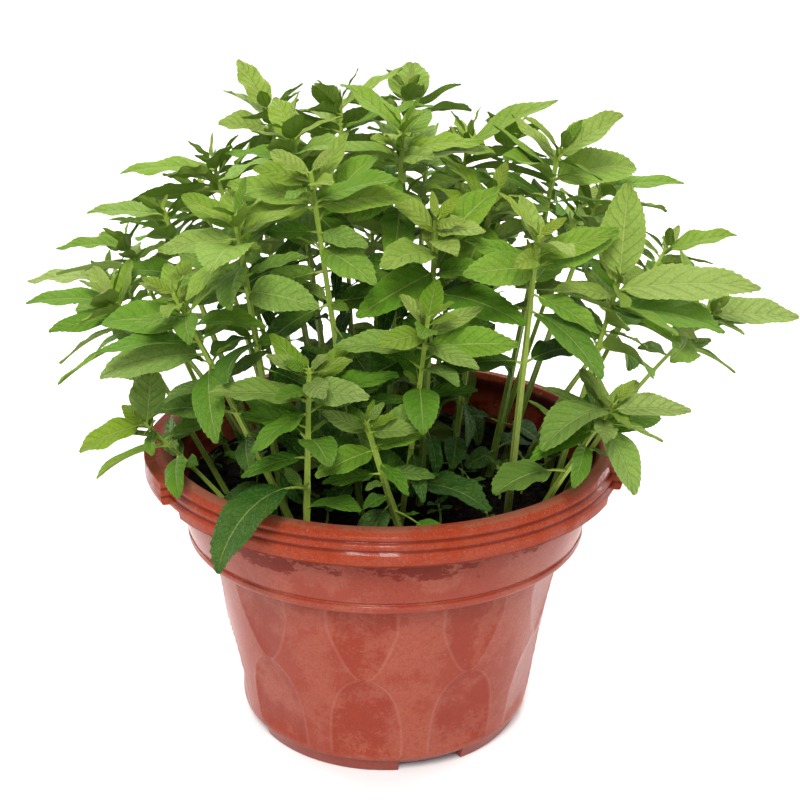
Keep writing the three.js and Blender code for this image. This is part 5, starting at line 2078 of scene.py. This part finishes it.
@dataclass
class Undergrowth:
    """Seedlings, each pair with its share of their height, rise, droop and age, and withered leaves."""

    growth: Growth
    ground: Soil
    seed: int = 77
    withered_tries: int = 26
    owner: int = -2
    sunk: float = 2.5
    spots: tuple[Triple, ...] = (
        (-88, 22, 15), (-80, 8, 19), (-96, 6, 12), (-70, -12, 16), (60, -24, 17), (72, -14, 20),
        (84, -2, 18), (90, 14, 13), (44, -34, 14), (-30, -58, 14), (-52, -34, 12), (28, -58, 13),
        (2, -82, 10), (52, -66, 12), (-62, -66, 10), (-14, -28, 16), (40, -10, 15),
    )
    pairs: tuple[tuple[float, float, float, float], ...] = (
        (0.5, 54, 20, 0.42), (0.72, 38, 32, 0.56), (0.6, 22, 44, 0.7),
    )
    sway: float = 3.0
    bend: Triple = (1.2, 0.5, 0.0)
    rings: int = 7
    inner: float = 30.0
    outer: float = 94.0

    def seedlings(self, materials: Sequence[bpy.types.Material]) -> bpy.types.Object:
        """Builds the seedlings.

        Args:
            materials: the blades' and the stalks' materials.

        Returns:
            The seedlings.
        """
        draws = Draws(self.seed)
        draft = Draft("blade", "leaf")
        maker = BladeMaker(draft, draws, self.growth.box)
        for x, y, tall in self.spots:
            start = np.array([x, y, self.ground.level(x, y) - self.sunk])
            rise = np.array([draws.wobble(self.sway), draws.wobble(self.sway), tall + self.sunk])
            share = np.linspace(0, 1, self.rings)[:, None]
            path = start + rise * share + np.array(self.bend) * np.sin(share * 3)
            grown = False
            for pair, (size, lift, droop, age) in enumerate(self.pairs):
                turn = draws.turn()
                for side in (0, 1):
                    reach = tall * size * (0.7 + 0.3 * draws.number())
                    leaf = Leaf(
                        foot=tuple(path[-1 - pair]),
                        heading=turn + side * math.pi,
                        rise=lift * DEGREE,
                        droop=droop * DEGREE,
                        reach=reach,
                        half=reach * 0.27,
                        stalk=1.2,
                        fold=0.2,
                        roll=draws.wobble(14) * DEGREE,
                        age=age,
                    )
                    if self.growth.room.settle(self.owner, leaf):
                        maker.add(leaf)
                        grown = True
            if grown:
                stem = round_tube(path, np.linspace(0.75, 0.4, self.rings), maker.stalk_sides)
                draft.add(*stem, STALK_SLOT, leaf=(0.55, 0.4, 0.0))
        return draft.build("seedlings", materials, sharp=60.0)

    def withered(self, finish: bpy.types.Material) -> bpy.types.Object:
        """Builds the withered leaves that lie curled on the soil.

        Args:
            finish: their material.

        Returns:
            The withered leaves.
        """
        draws = Draws(self.seed + 1)
        draft = Draft("blade", "leaf")
        maker = BladeMaker(draft, draws, self.growth.box)
        for _ in range(self.withered_tries):
            radius = self.inner + (self.outer - self.inner) * math.sqrt(draws.number())
            angle = draws.turn()
            x, y = radius * math.cos(angle), radius * math.sin(angle)
            reach = 13 + 9 * draws.number()
            leaf = Leaf(
                foot=(x, y, self.ground.level(x, y) + 2.2),
                heading=draws.turn(),
                rise=(14 + draws.wobble(10)) * DEGREE,
                droop=(44 + draws.wobble(30)) * DEGREE,
                reach=reach,
                half=reach * 0.24,
                stalk=1.0,
                fold=0.7 + draws.wobble(0.3),
                roll=draws.wobble(50) * DEGREE,
                age=0.5,
            )
            if self.growth.room.settle(self.owner, leaf):
                maker.add(leaf)
        return draft.build("withered_leaves", [finish, finish], sharp=60.0)


# The studio
@dataclass(frozen=True)
class Lamp:
    """A soft square lamp: place and aim in metres, side in metres, power in watts."""

    name: str
    place: Triple
    aim: Triple
    side: float
    power: float
    colour: Colour


@dataclass
class Studio:
    """Floor, lights and the camera."""

    focal: float = 67.5
    sensor: float = 36.0
    eye: Triple = (7.5, -745.2, 460.8)
    pitch: float = 20.64 * DEGREE
    roll: float = 0.34 * DEGREE
    room: tuple[float, float, float, float] = (0.98, 0.98, 1.0, 1.0)
    room_light: float = 0.58
    sun_way: Triple = (0.12, 1.0, -1.15)
    sun_power: float = 2.7
    sun_width: float = 20 * DEGREE
    sun_colour: Colour = (1.0, 0.99, 0.96)
    floor_half: float = 9000.0
    floor_drop: float = 0.4
    lamps: tuple[Lamp, ...] = (
        Lamp("front", (0.05, -1.25, 0.95), (0, 0, 0.16), 0.16, 2.6, (0.90, 0.93, 1.0)),
        Lamp("right", (1.15, 0.75, 0.42), (0, 0, 0.12), 0.5, 7.5, (1.0, 1.0, 1.0)),
        Lamp("left", (-1.15, 0.75, 0.42), (0, 0, 0.12), 0.5, 7.5, (1.0, 1.0, 1.0)),
        Lamp("back", (0.0, 1.1, 1.3), (0, 0.2, 0.0), 1.2, 24, (1.0, 1.0, 0.98)),
    )

    def camera(self) -> None:
        """Places the camera at the photograph's angle."""
        data = bpy.data.cameras.new("camera")
        data.lens = self.focal
        data.sensor_width = self.sensor
        data.clip_end = 100
        level = Vector((1, 0, 0))
        upright = Vector((0, math.sin(self.pitch), math.cos(self.pitch)))
        back = Vector((0, -math.cos(self.pitch), math.sin(self.pitch)))
        right = level * math.cos(self.roll) + upright * math.sin(self.roll)
        up = upright * math.cos(self.roll) - level * math.sin(self.roll)
        matrix = Matrix((right, up, back)).transposed().to_4x4()
        matrix.translation = Vector(self.eye) * MILLIMETRE
        made = hang("camera", data)
        made.matrix_world = matrix
        bpy.context.scene.camera = made

    def lights(self) -> None:
        """Soft light from the front and above, with the room's own light."""
        world = bpy.data.worlds.new("room")
        world.use_nodes = True
        background = world.node_tree.nodes["Background"]
        background.inputs["Color"].default_value = self.room
        background.inputs["Strength"].default_value = self.room_light
        bpy.context.scene.world = world
        sun = bpy.data.lights.new("key", "SUN")
        sun.energy, sun.angle, sun.color = self.sun_power, self.sun_width, self.sun_colour
        hang("key", sun).rotation_euler = Vector(self.sun_way).to_track_quat("-Z", "Y").to_euler()
        for lamp in self.lamps:
            data = bpy.data.lights.new(lamp.name, "AREA")
            data.size, data.energy, data.color = lamp.side, lamp.power, lamp.colour
            made = hang(lamp.name, data)
            made.location = lamp.place
            made.rotation_euler = (Vector(lamp.aim) - Vector(lamp.place)).to_track_quat("-Z", "Y").to_euler()

    def floor(self) -> None:
        """Lays the pale floor."""
        corners = np.array([(-1, -1, 0), (1, -1, 0), (1, 1, 0), (-1, 1, 0)], float) * self.floor_half
        draft = Draft()
        draft.add(corners, np.array([[0, 1, 2, 3]]))
        made = draft.build("studio_floor", [StudioFloor().material()])
        made.location.z = -self.floor_drop * MILLIMETRE
        made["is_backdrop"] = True

    def tone(self) -> None:
        """Shows colours as they are."""
        view = bpy.context.scene.view_settings
        view.view_transform, view.look, view.exposure, view.gamma = "Standard", "None", 0.0, 1.0


def carry(piece: bpy.types.Object, slot: str, *nodes: str) -> None:
    """Lets a piece ride on the part and stand for its nodes.

    Args:
        piece: the piece.
        slot: not used.
        nodes: the nodes that it replaces.
    """
    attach(piece, "root")
    if nodes:
        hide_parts(*nodes)
    LOG.info("%s: %d faces", piece.name, len(piece.data.polygons))


def main() -> None:
    """Builds the potted mint and its studio."""
    logging.basicConfig(level=logging.INFO, format="%(message)s")
    solid_box = [list(corner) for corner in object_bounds()]
    box = tuple(np.array(corner) / MILLIMETRE for corner in solid_box)
    sizes = PotSizes()
    studio = Studio()
    studio.camera()
    studio.lights()
    studio.floor()
    studio.tone()
    carry(Pot(sizes).mesh(), "pot_plastic", "pot")
    loam = Loam().material()
    soil = Soil(sizes)
    carry(soil.mesh(loam), "potting_soil", "soil")
    carry(soil.crumbs(loam), "potting_soil")
    growth = Growth(sizes, box)
    growth.grow()
    finishes = [MintBlade().material(), MintStalk().material()]
    undergrowth = Undergrowth(growth, soil)
    carry(undergrowth.seedlings(finishes), "mint_foliage")
    carry(undergrowth.withered(DryLeaf().material()), "mint_foliage")
    for number in range(1, len(SHOOTS) + 1):
        carry(LeafyStem(number, growth).mesh(finishes), "mint_foliage", f"leafy_stem_{number:02d}")


if __name__ == "__main__":
    main()
